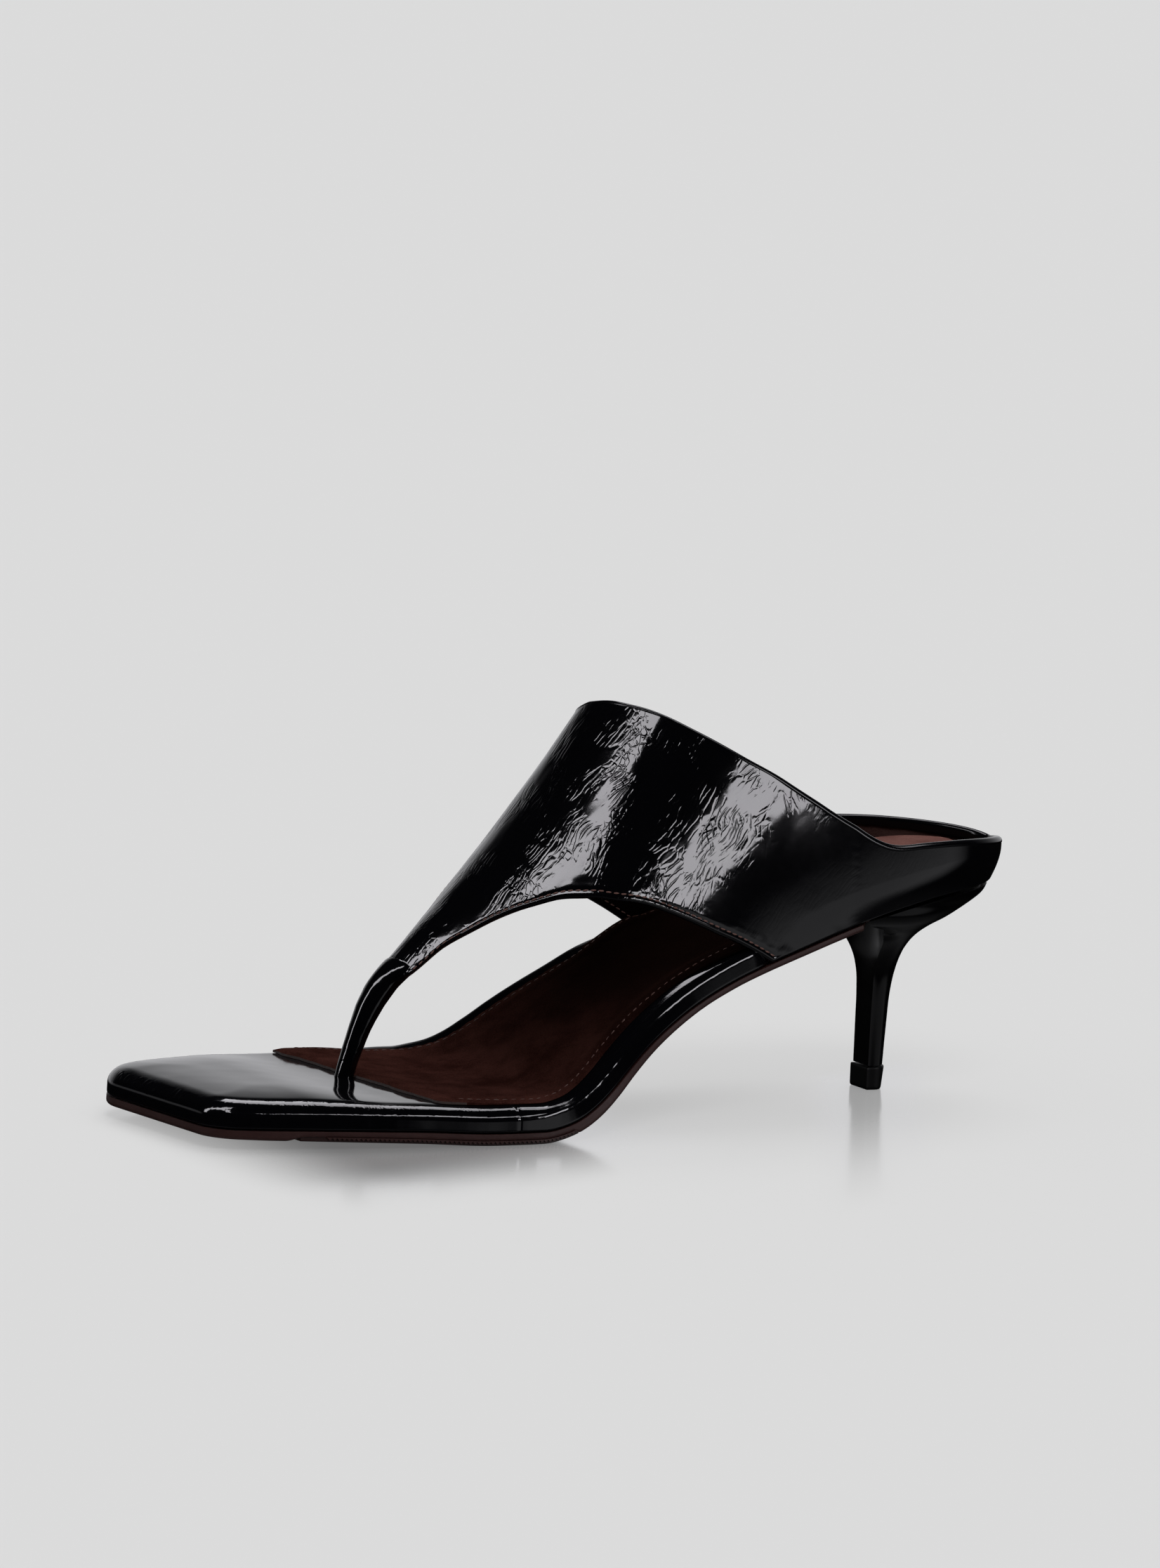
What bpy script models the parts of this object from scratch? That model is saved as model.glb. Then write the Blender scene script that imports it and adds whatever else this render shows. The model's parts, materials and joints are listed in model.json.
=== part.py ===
"""Kitten heel toe post sandal, left foot.

One shoe stands empty on its sole. +Z is up, the toe points along -Y and the outer (lateral)
side of the foot is +X. The origin is the middle of the flat spot under the ball of the foot.

Sizes are given in millimetres in the tables below and turned into metres by MM. "Back" is the
distance of a place behind the toe, measured level; y = back - REST_BACK. "Station" is the same as
back as far as HEEL_START, and from there on it counts degrees round the heel, up to HEEL_END.
"""

import math

import bmesh
import bpy
from mathutils import Matrix, Vector
from mathutils.geometry import interpolate_bezier

MM = 0.001

# Driving dimensions, mm
TOE_LINE = 8.6            # back of the toe's front edge on the centre line
TOE_SKEW = 0.115          # the toe line and the rows behind it slant, inner side forward
SKEW_FADE = (15.0, 60.0)  # stations between which the slant fades out
REST_BACK = 85.5          # middle of the flat spot under the ball
HEEL_START = 184.0        # where the outline starts to round the heel
HEEL_BACK = 234.2         # back of the heel seat
HEEL_END = HEEL_START + 90.0
HEEL_ROUNDNESS = 2.0      # of the level sections through the heel; 2 is an ellipse
TOE_CORNER = {"lateral": 6.0, "medial": 9.0}

GAP = 0.3                 # between curved pieces that touch
CUTTER_HEIGHT = 20.0      # of the slabs that shape the top of the heel
CUTTER_MARGIN = 3.0       # past the footbed's edge
OUTSOLE_ROUND = 0.9       # rounding of the outsole's lower edge
OUTSOLE_END = 210.0       # the outsole ends in a pocket of the heel cup,
OUTSOLE_TUCK = 5.0        # and is this much narrower there
TUCK_STATIONS = (187.0, 191.5)
BOARD_THICKNESS = 5.2     # footbed: insole board, filler and the cover wrapped round them
BOARD_ROUND = 2.4         # rounding of the footbed's top edge
BOARD_LOWER_ROUND = 0.6
SOCK_THICKNESS = 1.1
SOCK_INSET = 3.6          # from the footbed's edge, in the open forefoot
SOCK_CLEARANCE = 0.4      # inside the footbed's edge, once it is between the quarters
SOCK_WIDENS = 25.0        # length over which it changes from one to the other
SOCK_FRONT = {"lateral": 65.0, "medial": 57.5}  # its front edge slants like the toe line
UPPER_WALL = 1.6
WALL_LEAD = (12.0, 7.0)   # the footbed narrows for the wall this far before the wall begins
POST_DIAMETER = 5.2
POST_FOOT = (-3.2, 61.5)  # x and back of the post's middle where it enters the footbed
POST_DEPTH = 4.0          # how far the post reaches into the footbed
POST_LEAN = math.radians(80.0)
POST_HANDLES = (15.0, 14.0)
POST_RINGS = 16
POST_TOP_GAP = 0.7        # to the tip of the vamp, whose end leans over the post
TIP_HEIGHT = 6.0          # top lift
TIP_LEDGE = 0.45          # the lift stands proud of the column by this much
TIP_TAPER = 0.9           # and its back leans forward towards the ground
HEEL_SIDE_STEPS = 14
HEEL_BREAST_STEPS = 10

# Outline of the footbed: half widths at stations
OUTLINE = {
    "station": (8.0, 20.0, 32.0, 48.0, 64.0, 78.0, 91.0, 110.0, 130.0, 150.0, 170.0, 184.0),
    "lateral": (25.8, 30.1, 32.8, 36.0, 38.9, 41.2, 42.6, 39.6, 32.0, 28.6, 26.0, 24.9),
    "medial": (24.8, 30.5, 34.2, 37.6, 39.2, 39.6, 39.0, 33.6, 26.8, 24.8, 24.3, 24.5),
}

# Height of the outsole's tread face: toe spring, flat ball, waist, heel seat
RISE = {
    "back": (0.0, 20.0, 40.0, 60.0, 80.0, 91.0, 97.0, 103.0, 108.0, 113.0, 118.0, 124.0, 130.0, 140.0, 150.0,
             160.0, 170.0, 180.0, 190.0, 200.0, 212.0, 225.0, 240.0),
    "height": (3.2, 2.5, 1.8, 1.0, 0.0, 0.0, 0.8, 2.7, 5.5, 9.3, 13.5, 18.0, 21.9, 27.7, 32.1,
               35.4, 38.4, 41.5, 44.4, 46.6, 48.4, 49.2, 49.5),
}

OUTSOLE_THICKNESS = {
    "back": (0.0, 40.0, 80.0, 105.0, 125.0, 150.0, 240.0),
    "thickness": (2.0, 2.5, 2.8, 2.6, 1.9, 1.6, 1.6),
}

# The last: the instep ridge above the ground, how far it lies to the outer side, and how sharply
# the vamp rolls over it where it narrows to the post (drop in mm for each square mm sideways)
RIDGE = {
    "back": (60.0, 74.0, 82.0, 90.0, 100.0, 113.0, 127.0, 145.0, 165.0, 190.0, 240.0),
    "height": (24.0, 38.5, 46.2, 53.5, 64.1, 80.3, 99.5, 121.0, 144.0, 168.0, 190.0),
    "lateral": (-3.2, -3.2, -3.4, -3.8, -4.4, -5.2, -6.0, -6.0, -5.0, -3.0, 0.0),
    "roll": (0.08, 0.08, 0.045, 0.018, 0.006, 0.0, 0.0, 0.0, 0.0, 0.0, 0.0),
}

# The two edges of the upper on the last. The angle goes from 0 at the feather line to 90 on the ridge
TONGUE_BACK = 76.0
COLLAR = {
    "angle": (90.0, 80.5, 69.5, 56.8, 45.0, 33.5, 24.0, 16.6, 12.0, 9.2, 7.7, 6.9, 6.0, 5.1, 4.2),
    "lateral": (125.6, 127.2, 130.1, 135.5, 142.6, 152.4, 164.0, 175.6, 184.4, 191.2, 197.5, 206.5, 221.0,
                243.0, 274.0),
    "medial": (125.6, 125.2, 126.6, 130.9, 138.0, 148.8, 161.8, 174.4, 184.0, 191.2, 197.5, 206.5, 221.0,
               243.0, 274.0),
}
CUTOUT = {
    "lateral": {
        "station": (76.0, 82.0, 88.0, 93.0, 98.0, 103.0, 108.2, 114.3, 120.0, 127.0, 135.0, 143.0, 150.0, 160.0),
        "angle": (82.0, 78.8, 74.3, 69.2, 63.2, 55.8, 46.6, 37.4, 30.4, 22.8, 15.5, 9.5, 5.3, 0.0),
    },
    "medial": {
        "station": (76.0, 82.0, 88.0, 93.0, 98.0, 103.0, 108.2, 114.3, 120.0, 127.0, 135.0, 143.0, 149.0, 154.0),
        "angle": (82.0, 78.8, 74.3, 69.2, 63.0, 55.4, 46.0, 36.6, 29.4, 21.6, 14.0, 7.5, 3.2, 0.0),
    },
}

# Rounding of the quarters outwards above the heel seat
FLARE = 0.095
FLARE_HEIGHT = 9.0
FLARE_START, FLARE_FULL = 160.0, 200.0
FLARE_CENTRE = 203.0

# Level sections through the heel, from the lift up to the seat. Front is where its two corners are,
# breast where the hollow between them is deepest
HEEL_SECTIONS = {
    "height": (6.0, 17.0, 24.0, 29.0, 33.0, 35.5, 38.0, 40.5, 42.5, 44.0, 46.0, 48.5, 53.0),
    "front": (202.0, 202.1, 202.2, 202.1, 201.9, 201.7, 201.5, 201.2, 196.0, 190.5, 188.0, 187.5, 187.5),
    "breast": (202.0, 202.1, 202.2, 202.3, 202.5, 202.8, 203.2, 203.6, 204.0, 204.2, 204.4, 204.6, 204.8),
    "widest": (204.2, 204.4, 204.6, 204.8, 205.0, 205.0, 204.6, 203.6, 201.0, 197.5, 192.5, 188.5, 188.5),
    "back": (207.4, 208.2, 208.8, 209.7, 210.7, 211.5, 212.6, 214.3, 217.3, 221.3, 226.0, 231.2, 234.4),
    "half": (3.9, 3.9, 4.1, 4.8, 6.4, 8.2, 11.0, 15.0, 19.0, 21.8, 24.0, 24.7, 24.9),
    "front_half": (3.6, 3.7, 3.9, 4.4, 6.0, 8.0, 10.6, 12.8, 18.2, 21.6, 23.9, 24.7, 24.9),
}

FINISHES = {
    # colour, roughness, metallic
    "patent": ((0.006, 0.006, 0.008), 0.12, 0.0),
    "sole_resin": ((0.030, 0.013, 0.010), 0.45, 0.0),
    "suede": ((0.022, 0.010, 0.008), 0.95, 0.0),
    "heel_black": ((0.008, 0.008, 0.010), 0.30, 0.0),
    "lift_black": ((0.006, 0.006, 0.006), 0.50, 0.0),
}


def smooth(table, key, column, at):
    """Read a table's column at a place, on a smooth curve through its rows."""
    xs, ys = table[key], table[column]
    at = min(max(at, xs[0]), xs[-1])
    last = len(xs) - 2
    row = next((i for i in range(last) if at <= xs[i + 1]), last)

    def slope(i):
        if i == 0:
            return (ys[1] - ys[0]) / (xs[1] - xs[0])
        if i == len(xs) - 1:
            return (ys[-1] - ys[-2]) / (xs[-1] - xs[-2])
        before, after = xs[i] - xs[i - 1], xs[i + 1] - xs[i]
        rise_before, rise_after = (ys[i] - ys[i - 1]) / before, (ys[i + 1] - ys[i]) / after
        if rise_before * rise_after <= 0.0:
            return 0.0
        return (rise_before * after + rise_after * before) / (before + after)

    width = xs[row + 1] - xs[row]
    t = (at - xs[row]) / width
    return (
        (2 * t**3 - 3 * t**2 + 1) * ys[row]
        + (t**3 - 2 * t**2 + t) * width * slope(row)
        + (3 * t**2 - 2 * t**3) * ys[row + 1]
        + (t**3 - t**2) * width * slope(row + 1)
    )


def ease(value, low, high):
    """0 below low, 1 above high, and smooth between."""
    t = min(max((value - low) / (high - low), 0.0), 1.0)
    return t * t * (3.0 - 2.0 * t)


def half_width(station, side):
    """Half width of the footbed at a station, with the toe's rounded corner taken off."""
    radius = TOE_CORNER[side]
    width = smooth(OUTLINE, "station", side, station)
    short = min(max(radius - (station - TOE_LINE), 0.0), radius)
    return width - radius + math.sqrt(radius * radius - short * short)


def footprint(station, side, inset=0.0):
    """Signed x and back of the footbed's edge at a station."""
    sign = 1.0 if side == "lateral" else -1.0
    if station <= HEEL_START:
        x = sign * (half_width(station, side) - inset)
        skew = TOE_SKEW * (1.0 - ease(station, *SKEW_FADE))
        return x, station + skew * x
    turn = math.radians(min(station, HEEL_END) - HEEL_START)
    length = HEEL_BACK - HEEL_START - inset
    x = sign * (half_width(HEEL_START, side) - inset) * math.cos(turn)
    return x, HEEL_START + length * math.sin(turn)


def rise(back):
    return smooth(RISE, "back", "height", back)


def outsole_thickness(back):
    return smooth(OUTSOLE_THICKNESS, "back", "thickness", back)


def board_bottom(back):
    return outsole_thickness(back) + GAP


def board_top(back):
    return board_bottom(back) + BOARD_THICKNESS


def steepness(back):
    step = 0.5
    return (rise(back + step) - rise(back - step)) / (2.0 * step)


def on_sole(x, back, height):
    """A place at a height measured square to the outsole's tread face, as metres in the part's frame."""
    slope = steepness(back)
    length = math.sqrt(1.0 + slope * slope)
    y = back - REST_BACK - height * slope / length
    return Vector((x, y, rise(back) + height / length)) * MM


def on_last(station, angle, side):
    """A place on the outside of the upper."""
    x, back = footprint(station, side)
    ridge_x = smooth(RIDGE, "back", "lateral", back)
    slope = steepness(back)
    feather = rise(back) + (outsole_thickness(back) + GAP) * math.sqrt(1.0 + slope * slope)
    turn = math.radians(angle)
    sideways = (x - ridge_x) * math.cos(turn)
    up = (smooth(RIDGE, "back", "height", back) - feather) * math.sin(turn)
    z = feather + up - smooth(RIDGE, "back", "roll", back) * sideways * sideways
    swell = FLARE * math.sin(math.radians(90.0 * min(up / FLARE_HEIGHT, 1.0)))
    swell *= ease(back, FLARE_START, FLARE_FULL)
    y = FLARE_CENTRE + (back - FLARE_CENTRE) * (1.0 + swell) - REST_BACK
    return Vector(((ridge_x + sideways) * (1.0 + swell), y, z)) * MM


def steps(first, last, count):
    return [first + (last - first) * i / count for i in range(count + 1)]


def edge_stations(end=HEEL_END):
    """Stations of the footbed's edge: close round the toe's corners and the heel, wider between."""
    radius = max(TOE_CORNER.values())
    corner = [TOE_LINE + radius * (1.0 - math.cos(math.radians(a))) for a in (0, 14, 28, 42, 56, 70, 82)]
    along = steps(20.0, HEEL_START, 30)
    round_heel = [*TUCK_STATIONS] + steps(HEEL_START, HEEL_END, 12)[2:]
    return [s for s in corner + along + round_heel if s < end - 1.0] + [end]


def outline(inset, end=HEEL_END, start=None):
    """Closed loop of x, back round the footbed, moved inwards by inset(station, side)."""
    loop = []
    for side in ("lateral", "medial"):
        stations = edge_stations(end)
        if start:
            stations = [start[side]] + [s for s in stations if s > start[side] + 1.0]
        edge = [footprint(s, side) for s in stations]
        moved = []
        for i, (x, back) in enumerate(edge):
            before, after = edge[max(i - 1, 0)], edge[min(i + 1, len(edge) - 1)]
            if i == 0 and not start:
                before = (0.0, TOE_LINE)
            if i == len(edge) - 1 and end == HEEL_END:
                after = (-before[0], before[1])
            along = Vector((after[0] - before[0], after[1] - before[1])).normalized()
            inward = Vector((-along.y, along.x)) * (1.0 if side == "lateral" else -1.0)
            shift = inset(stations[i], side)
            moved.append((x + inward.x * shift, back + inward.y * shift))
        loop.append(moved)
    lateral, medial = loop
    if end == HEEL_END:
        medial = medial[:-1]
    return lateral + medial[::-1]


def new_object(name, bm, finish, smooth_angle=40.0):
    mesh = bpy.data.meshes.new(name)
    bm.to_mesh(mesh)
    bm.free()
    obj = bpy.data.objects.new(name, mesh)
    bpy.context.collection.objects.link(obj)
    mesh.materials.append(bpy.data.materials[finish])
    mesh.shade_smooth()
    mesh.set_sharp_from_angle(angle=math.radians(smooth_angle))
    return obj


def make_materials():
    for name, (colour, roughness, metallic) in FINISHES.items():
        material = bpy.data.materials.new(name)
        material.use_nodes = True
        shader = material.node_tree.nodes["Principled BSDF"]
        shader.inputs["Base Color"].default_value = (*colour, 1.0)
        shader.inputs["Roughness"].default_value = roughness
        shader.inputs["Metallic"].default_value = metallic


def bent_plate(loop, bottom, top, round_top, round_bottom=0.0):
    """A flat plate cut to a loop, its edges rounded, then laid along the curve of the sole."""
    bm = bmesh.new()
    nominal = 10.0  # height of the flat plate; each half then moves with its own face
    face = bm.faces.new([bm.verts.new((x * MM, back * MM, 0.0)) for x, back in loop])
    grown = bmesh.ops.extrude_face_region(bm, geom=[face])
    upper = [v for v in grown["geom"] if isinstance(v, bmesh.types.BMVert)]
    bmesh.ops.translate(bm, verts=upper, vec=(0.0, 0.0, nominal * MM))
    bmesh.ops.recalc_face_normals(bm, faces=bm.faces)
    for level, radius in ((nominal, round_top), (0.0, round_bottom)):
        if radius:
            rim = [e for e in bm.edges if all(abs(v.co.z - level * MM) < 1e-6 for v in e.verts)]
            bmesh.ops.bevel(
                bm, geom=rim, offset=radius * MM, affect="EDGES", segments=3, profile=0.5, material=-1
            )
    backs = [b for _, b in loop]
    for back in steps(10.0, 85.0, 15) + steps(87.5, 130.0, 17) + steps(135.0, 230.0, 19):
        if min(backs) < back < max(backs):
            everything = bm.verts[:] + bm.edges[:] + bm.faces[:]
            bmesh.ops.bisect_plane(
                bm, geom=everything, dist=1e-6, plane_co=(0.0, back * MM, 0.0), plane_no=(0.0, 1.0, 0.0)
            )
    for vert in bm.verts:
        back, height = vert.co.y / MM, vert.co.z / MM
        if height > nominal / 2.0:
            height = top(back) - (nominal - height)
        else:
            height = bottom(back) + height
        vert.co = on_sole(vert.co.x / MM, back, height)
    return bm


def cut(obj, cutter, solver="EXACT"):
    """Take the cutter's shape out of an object."""
    modifier = obj.modifiers.new("cut_" + cutter.name, "BOOLEAN")
    modifier.operation = "DIFFERENCE"
    modifier.solver = solver
    modifier.object = cutter


def cutter_object(name, bm):
    mesh = bpy.data.meshes.new(name)
    bm.to_mesh(mesh)
    bm.free()
    obj = bpy.data.objects.new(name, mesh)
    bpy.context.collection.objects.link(obj)
    obj.hide_render = True
    obj.display_type = "WIRE"
    return obj


def tuck(station, side):
    return OUTSOLE_TUCK * ease(station, *TUCK_STATIONS)


def make_outsole():
    """Flush with the footbed, and narrower where its end goes into the heel cup."""
    bm = bent_plate(outline(tuck, OUTSOLE_END), lambda back: 0.0, outsole_thickness, 0.0, OUTSOLE_ROUND)
    return new_object("outsole", bm, "sole_resin")


def board_inset(station, side):
    """The board is cut back where the wall of the upper comes down outside it."""
    corner = CUTOUT[side]["station"][-1]
    return (UPPER_WALL + GAP) * ease(station, corner - WALL_LEAD[0], corner - WALL_LEAD[1])


def make_footbed():
    bm = bent_plate(outline(board_inset), board_bottom, board_top, BOARD_ROUND, BOARD_LOWER_ROUND)
    return new_object("footbed", bm, "patent")


def sock_inset(station, side):
    corner = CUTOUT[side]["station"][-1]
    inside = board_inset(station, side) + SOCK_CLEARANCE
    return SOCK_INSET + (inside - SOCK_INSET) * ease(station, corner - SOCK_WIDENS, corner)


def make_sock():
    """Suede sock: the footbed's outline behind a straight front edge."""
    loop = outline(sock_inset, start=SOCK_FRONT)
    lower = lambda back: board_top(back) + GAP
    upper = lambda back: board_top(back) + GAP + SOCK_THICKNESS
    return new_object("sock", bent_plate(loop, lower, upper, 0.0), "suede")


def edge_line(points, count):
    """Station and angle at equal distances along an edge of the upper, from a close run of points."""
    places = [on_last(station, angle, side) for station, angle, side in points]
    travelled = [0.0]
    for before, after in zip(places, places[1:]):
        travelled.append(travelled[-1] + (after - before).length)
    line = []
    row = 0
    for distance in steps(0.0, travelled[-1], count):
        while row < len(points) - 2 and travelled[row + 1] < distance:
            row += 1
        share = (distance - travelled[row]) / (travelled[row + 1] - travelled[row])
        line.append(tuple(points[row][i] + share * (points[row + 1][i] - points[row][i]) for i in (0, 1)))
    return line


def collar_points(side, first, last):
    """Close run of places along the collar between two of the table's rows, over the ridge and on."""
    other = "medial" if side == "lateral" else "lateral"
    stations, angles = COLLAR[side], COLLAR["angle"]
    stations = (COLLAR[other][1],) + stations + (stations[-1],)
    angles = (180.0 - angles[1],) + angles + (angles[-1],)
    points = []
    for t in steps(first, last, 160):
        row = min(int(t), len(stations) - 4)
        share = t - row

        def blend(values):
            a, b, c, d = values[row:row + 4]
            return 0.5 * (
                2.0 * b
                + (c - a) * share
                + (2.0 * a - 5.0 * b + 4.0 * c - d) * share**2
                + (3.0 * b - a - 3.0 * c + d) * share**3
            )

        points.append((blend(stations), blend(angles), side))
    return points


def cutout_points(side):
    table = CUTOUT[side]
    stations = steps(table["station"][0], table["station"][-1], 120)
    return [(s, smooth(table, "station", "angle", s), side) for s in stations]


TONGUE_RIBS, CUTOUT_RIBS, QUARTER_RIBS, RIB_ROWS = 2, 17, 15, 12
COLLAR_MATCH = {"tongue": 0.8, "cutout": 7.1}  # rows of the collar table that face the corners below


def upper_ribs(side):
    """Pairs of collar place and lower-edge place, from the ridge back to the middle of the heel."""
    table = CUTOUT[side]
    corner = table["station"][-1]
    tongue_angle = table["angle"][0]
    collar = edge_line(collar_points(side, 0.0, COLLAR_MATCH["tongue"]), TONGUE_RIBS)
    collar += edge_line(collar_points(side, COLLAR_MATCH["tongue"], COLLAR_MATCH["cutout"]), CUTOUT_RIBS)[1:]
    collar += edge_line(collar_points(side, COLLAR_MATCH["cutout"], len(COLLAR["angle"]) - 1.0), QUARTER_RIBS)[1:]
    lower = [(TONGUE_BACK, angle) for angle in steps(90.0, tongue_angle, TONGUE_RIBS)]
    lower += edge_line(cutout_points(side), CUTOUT_RIBS)[1:]
    lower += edge_line([(s, 0.0, side) for s in steps(corner, HEEL_END, 120)], QUARTER_RIBS)[1:]
    return list(zip(collar, lower))


def make_upper():
    """One ring of ribs from the collar down to the cut-outs and the feather line, given its wall."""
    lateral, medial = upper_ribs("lateral"), upper_ribs("medial")
    ring = [(rib, "lateral") for rib in lateral] + [(rib, "medial") for rib in medial[-2:0:-1]]
    bm = bmesh.new()
    bmesh.ops.create_grid(bm, x_segments=len(ring), y_segments=RIB_ROWS, size=0.5)
    bm.verts.ensure_lookup_table()
    for vert in bm.verts:
        place = (vert.co.x + 0.5) * len(ring)
        across = 0.5 - vert.co.y
        (top, low), side = ring[round(place) % len(ring)]
        station = top[0] + across * (low[0] - top[0])
        angle = top[1] + across * (low[1] - top[1])
        vert.co = on_last(station, angle, side)
    bmesh.ops.remove_doubles(bm, verts=bm.verts, dist=1e-6)
    bmesh.ops.recalc_face_normals(bm, faces=bm.faces)
    obj = new_object("upper", bm, "patent")
    wall = obj.modifiers.new("wall", "SOLIDIFY")
    wall.thickness = UPPER_WALL * MM
    wall.offset = -1.0
    wall.use_even_offset = True
    return obj


def post_route(extra_depth=0.0):
    """Middle line of the post, from inside the footbed up to the tip of the vamp."""
    ridge = on_last(TONGUE_BACK, 90.0, "lateral")
    along = (on_last(TONGUE_BACK + 1.0, 90.0, "lateral") - ridge).normalized()
    inward = Vector((0.0, along.z, -along.y))
    top = ridge + (inward * POST_DIAMETER / 2.0 - along * POST_TOP_GAP) * MM
    foot_x, foot_back = POST_FOOT
    up = Vector((0.0, math.cos(POST_LEAN), math.sin(POST_LEAN)))
    foot = on_sole(foot_x, foot_back, board_top(foot_back)) - up * (POST_DEPTH + extra_depth) * MM
    handles = foot + up * POST_HANDLES[0] * MM, top - along * POST_HANDLES[1] * MM
    return interpolate_bezier(foot, *handles, top, POST_RINGS)


def tube(route, radius, sides):
    """A round tube swept along a route in the YZ plane, with flat ends."""
    bm = bmesh.new()
    rings = []
    for i, place in enumerate(route):
        along = (route[min(i + 1, len(route) - 1)] - route[max(i - 1, 0)]).normalized()
        turn = along.to_track_quat("Z", "X").to_matrix().to_4x4()
        made = bmesh.ops.create_circle(
            bm, cap_ends=False, segments=sides, radius=radius, matrix=Matrix.Translation(place) @ turn
        )
        rings.append(list({e for v in made["verts"] for e in v.link_edges}))
    for lower, upper in zip(rings, rings[1:]):
        bmesh.ops.bridge_loops(bm, edges=lower + upper)
    for ring in (rings[0], rings[-1]):
        bmesh.ops.contextual_create(bm, geom=ring)
    bmesh.ops.recalc_face_normals(bm, faces=bm.faces)
    return bm


def make_toe_post():
    return new_object("toe_post", tube(post_route(), POST_DIAMETER / 2.0 * MM, 16), "patent")


def heel_section(height, grow=0.0, shift_back=0.0):
    """Closed loop of x, back for a level cut through the heel."""
    value = {key: smooth(HEEL_SECTIONS, "height", key, height) for key in HEEL_SECTIONS}
    front, back = value["front"] - grow, value["back"] + grow + shift_back
    half, widest = value["half"] + grow, value["widest"]
    front_half = value["front_half"] + grow

    def side_x(place):
        if place <= widest:
            return front_half + (half - front_half) * ease(place, front, widest)
        return half * math.sqrt(max(1.0 - ((place - widest) / (back - widest)) ** HEEL_ROUNDNESS, 0.0))

    places = [front + (back - front) * math.sin(math.radians(a)) ** 1.2 for a in steps(0.0, 90.0, HEEL_SIDE_STEPS)]
    lateral = [(side_x(place), place) for place in places]
    medial = [(-x, place) for x, place in lateral[-2::-1]]
    corner = lateral[0][0]
    depth = value["breast"] - value["front"]
    shares = steps(-1.0, 1.0, HEEL_BREAST_STEPS)[1:-1]
    breast = [(corner * u, front + depth * (1.0 - u * u)) for u in shares]
    return lateral + medial + breast


def loft(loops):
    """Skin level loops of x, back, height with the same number of points, and close both ends."""
    bm = bmesh.new()
    rings = []
    for loop in loops:
        verts = [bm.verts.new(Vector((x, back - REST_BACK, height)) * MM) for x, back, height in loop]
        rings.append(verts)
    for lower, upper in zip(rings, rings[1:]):
        for i, vert in enumerate(lower):
            after = (i + 1) % len(lower)
            bm.faces.new((vert, lower[after], upper[after], upper[i]))
    bm.faces.new(rings[0][::-1])
    bm.faces.new(rings[-1])
    bmesh.ops.recalc_face_normals(bm, faces=bm.faces)
    return bm


def make_heel():
    """Lofted column and cup, cut off under the footbed and hollowed for the end of the outsole."""
    heights = list(HEEL_SECTIONS["height"])
    between = [(low + high) / 2.0 for low, high in zip(heights, heights[1:])]
    levels = sorted(heights + between[2:])
    loops = [[(x, back, height) for x, back in heel_section(height)] for height in levels]
    obj = new_object("heel", loft(loops), "heel_black", 50.0)
    above = lambda back: outsole_thickness(back) + CUTTER_HEIGHT
    sole_end = outline(lambda station, side: tuck(station, side) - GAP, OUTSOLE_END + GAP)
    cut(obj, cutter_object("pocket_cutter", bent_plate(sole_end, lambda back: -GAP, above, 0.0)), "MANIFOLD")
    seat = outline(lambda station, side: -CUTTER_MARGIN)
    cut(obj, cutter_object("seat_cutter", bent_plate(seat, outsole_thickness, above, 0.0)), "MANIFOLD")
    return obj


def make_top_lift():
    """Heel tip: stands proud of the column all round, and tapers to the ground at the back."""
    loops = []
    for height, shift in ((0.0, -TIP_TAPER), (TIP_HEIGHT - GAP, 0.0)):
        section = heel_section(TIP_HEIGHT, TIP_LEDGE, shift)
        loops.append([(x, back, height) for x, back in section])
    return new_object("top_lift", loft(loops), "lift_black")


def main():
    for obj in list(bpy.data.objects):
        bpy.data.objects.remove(obj, do_unlink=True)
    make_materials()
    make_outsole()
    footbed = make_footbed()
    sock = make_sock()
    make_upper()
    make_toe_post()
    slot = cutter_object("post_slot", tube(post_route(GAP), (POST_DIAMETER / 2.0 + GAP) * MM, 16))
    cut(footbed, slot)
    cut(sock, slot)
    make_heel()
    make_top_lift()


main()
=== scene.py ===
# %% [markdown]
# # A kitten heel toe post sandal
#
# The frame holds the sandal's construction: outsole, footbed, sock, upper, toe post, heel and top
# lift, all at their real size. This lesson gives them their looks: crinkled patent leather, suede,
# stitches, a bound collar, a moulded heel and a ribbed tread. The first step is to load the frame and
# to take its box, from which the camera is placed.

# %% Load the frame
import json
import math

import bmesh
import bpy
from mathutils import Matrix, Quaternion, Vector, kdtree, noise
from mathutils.geometry import interpolate_bezier

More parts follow.
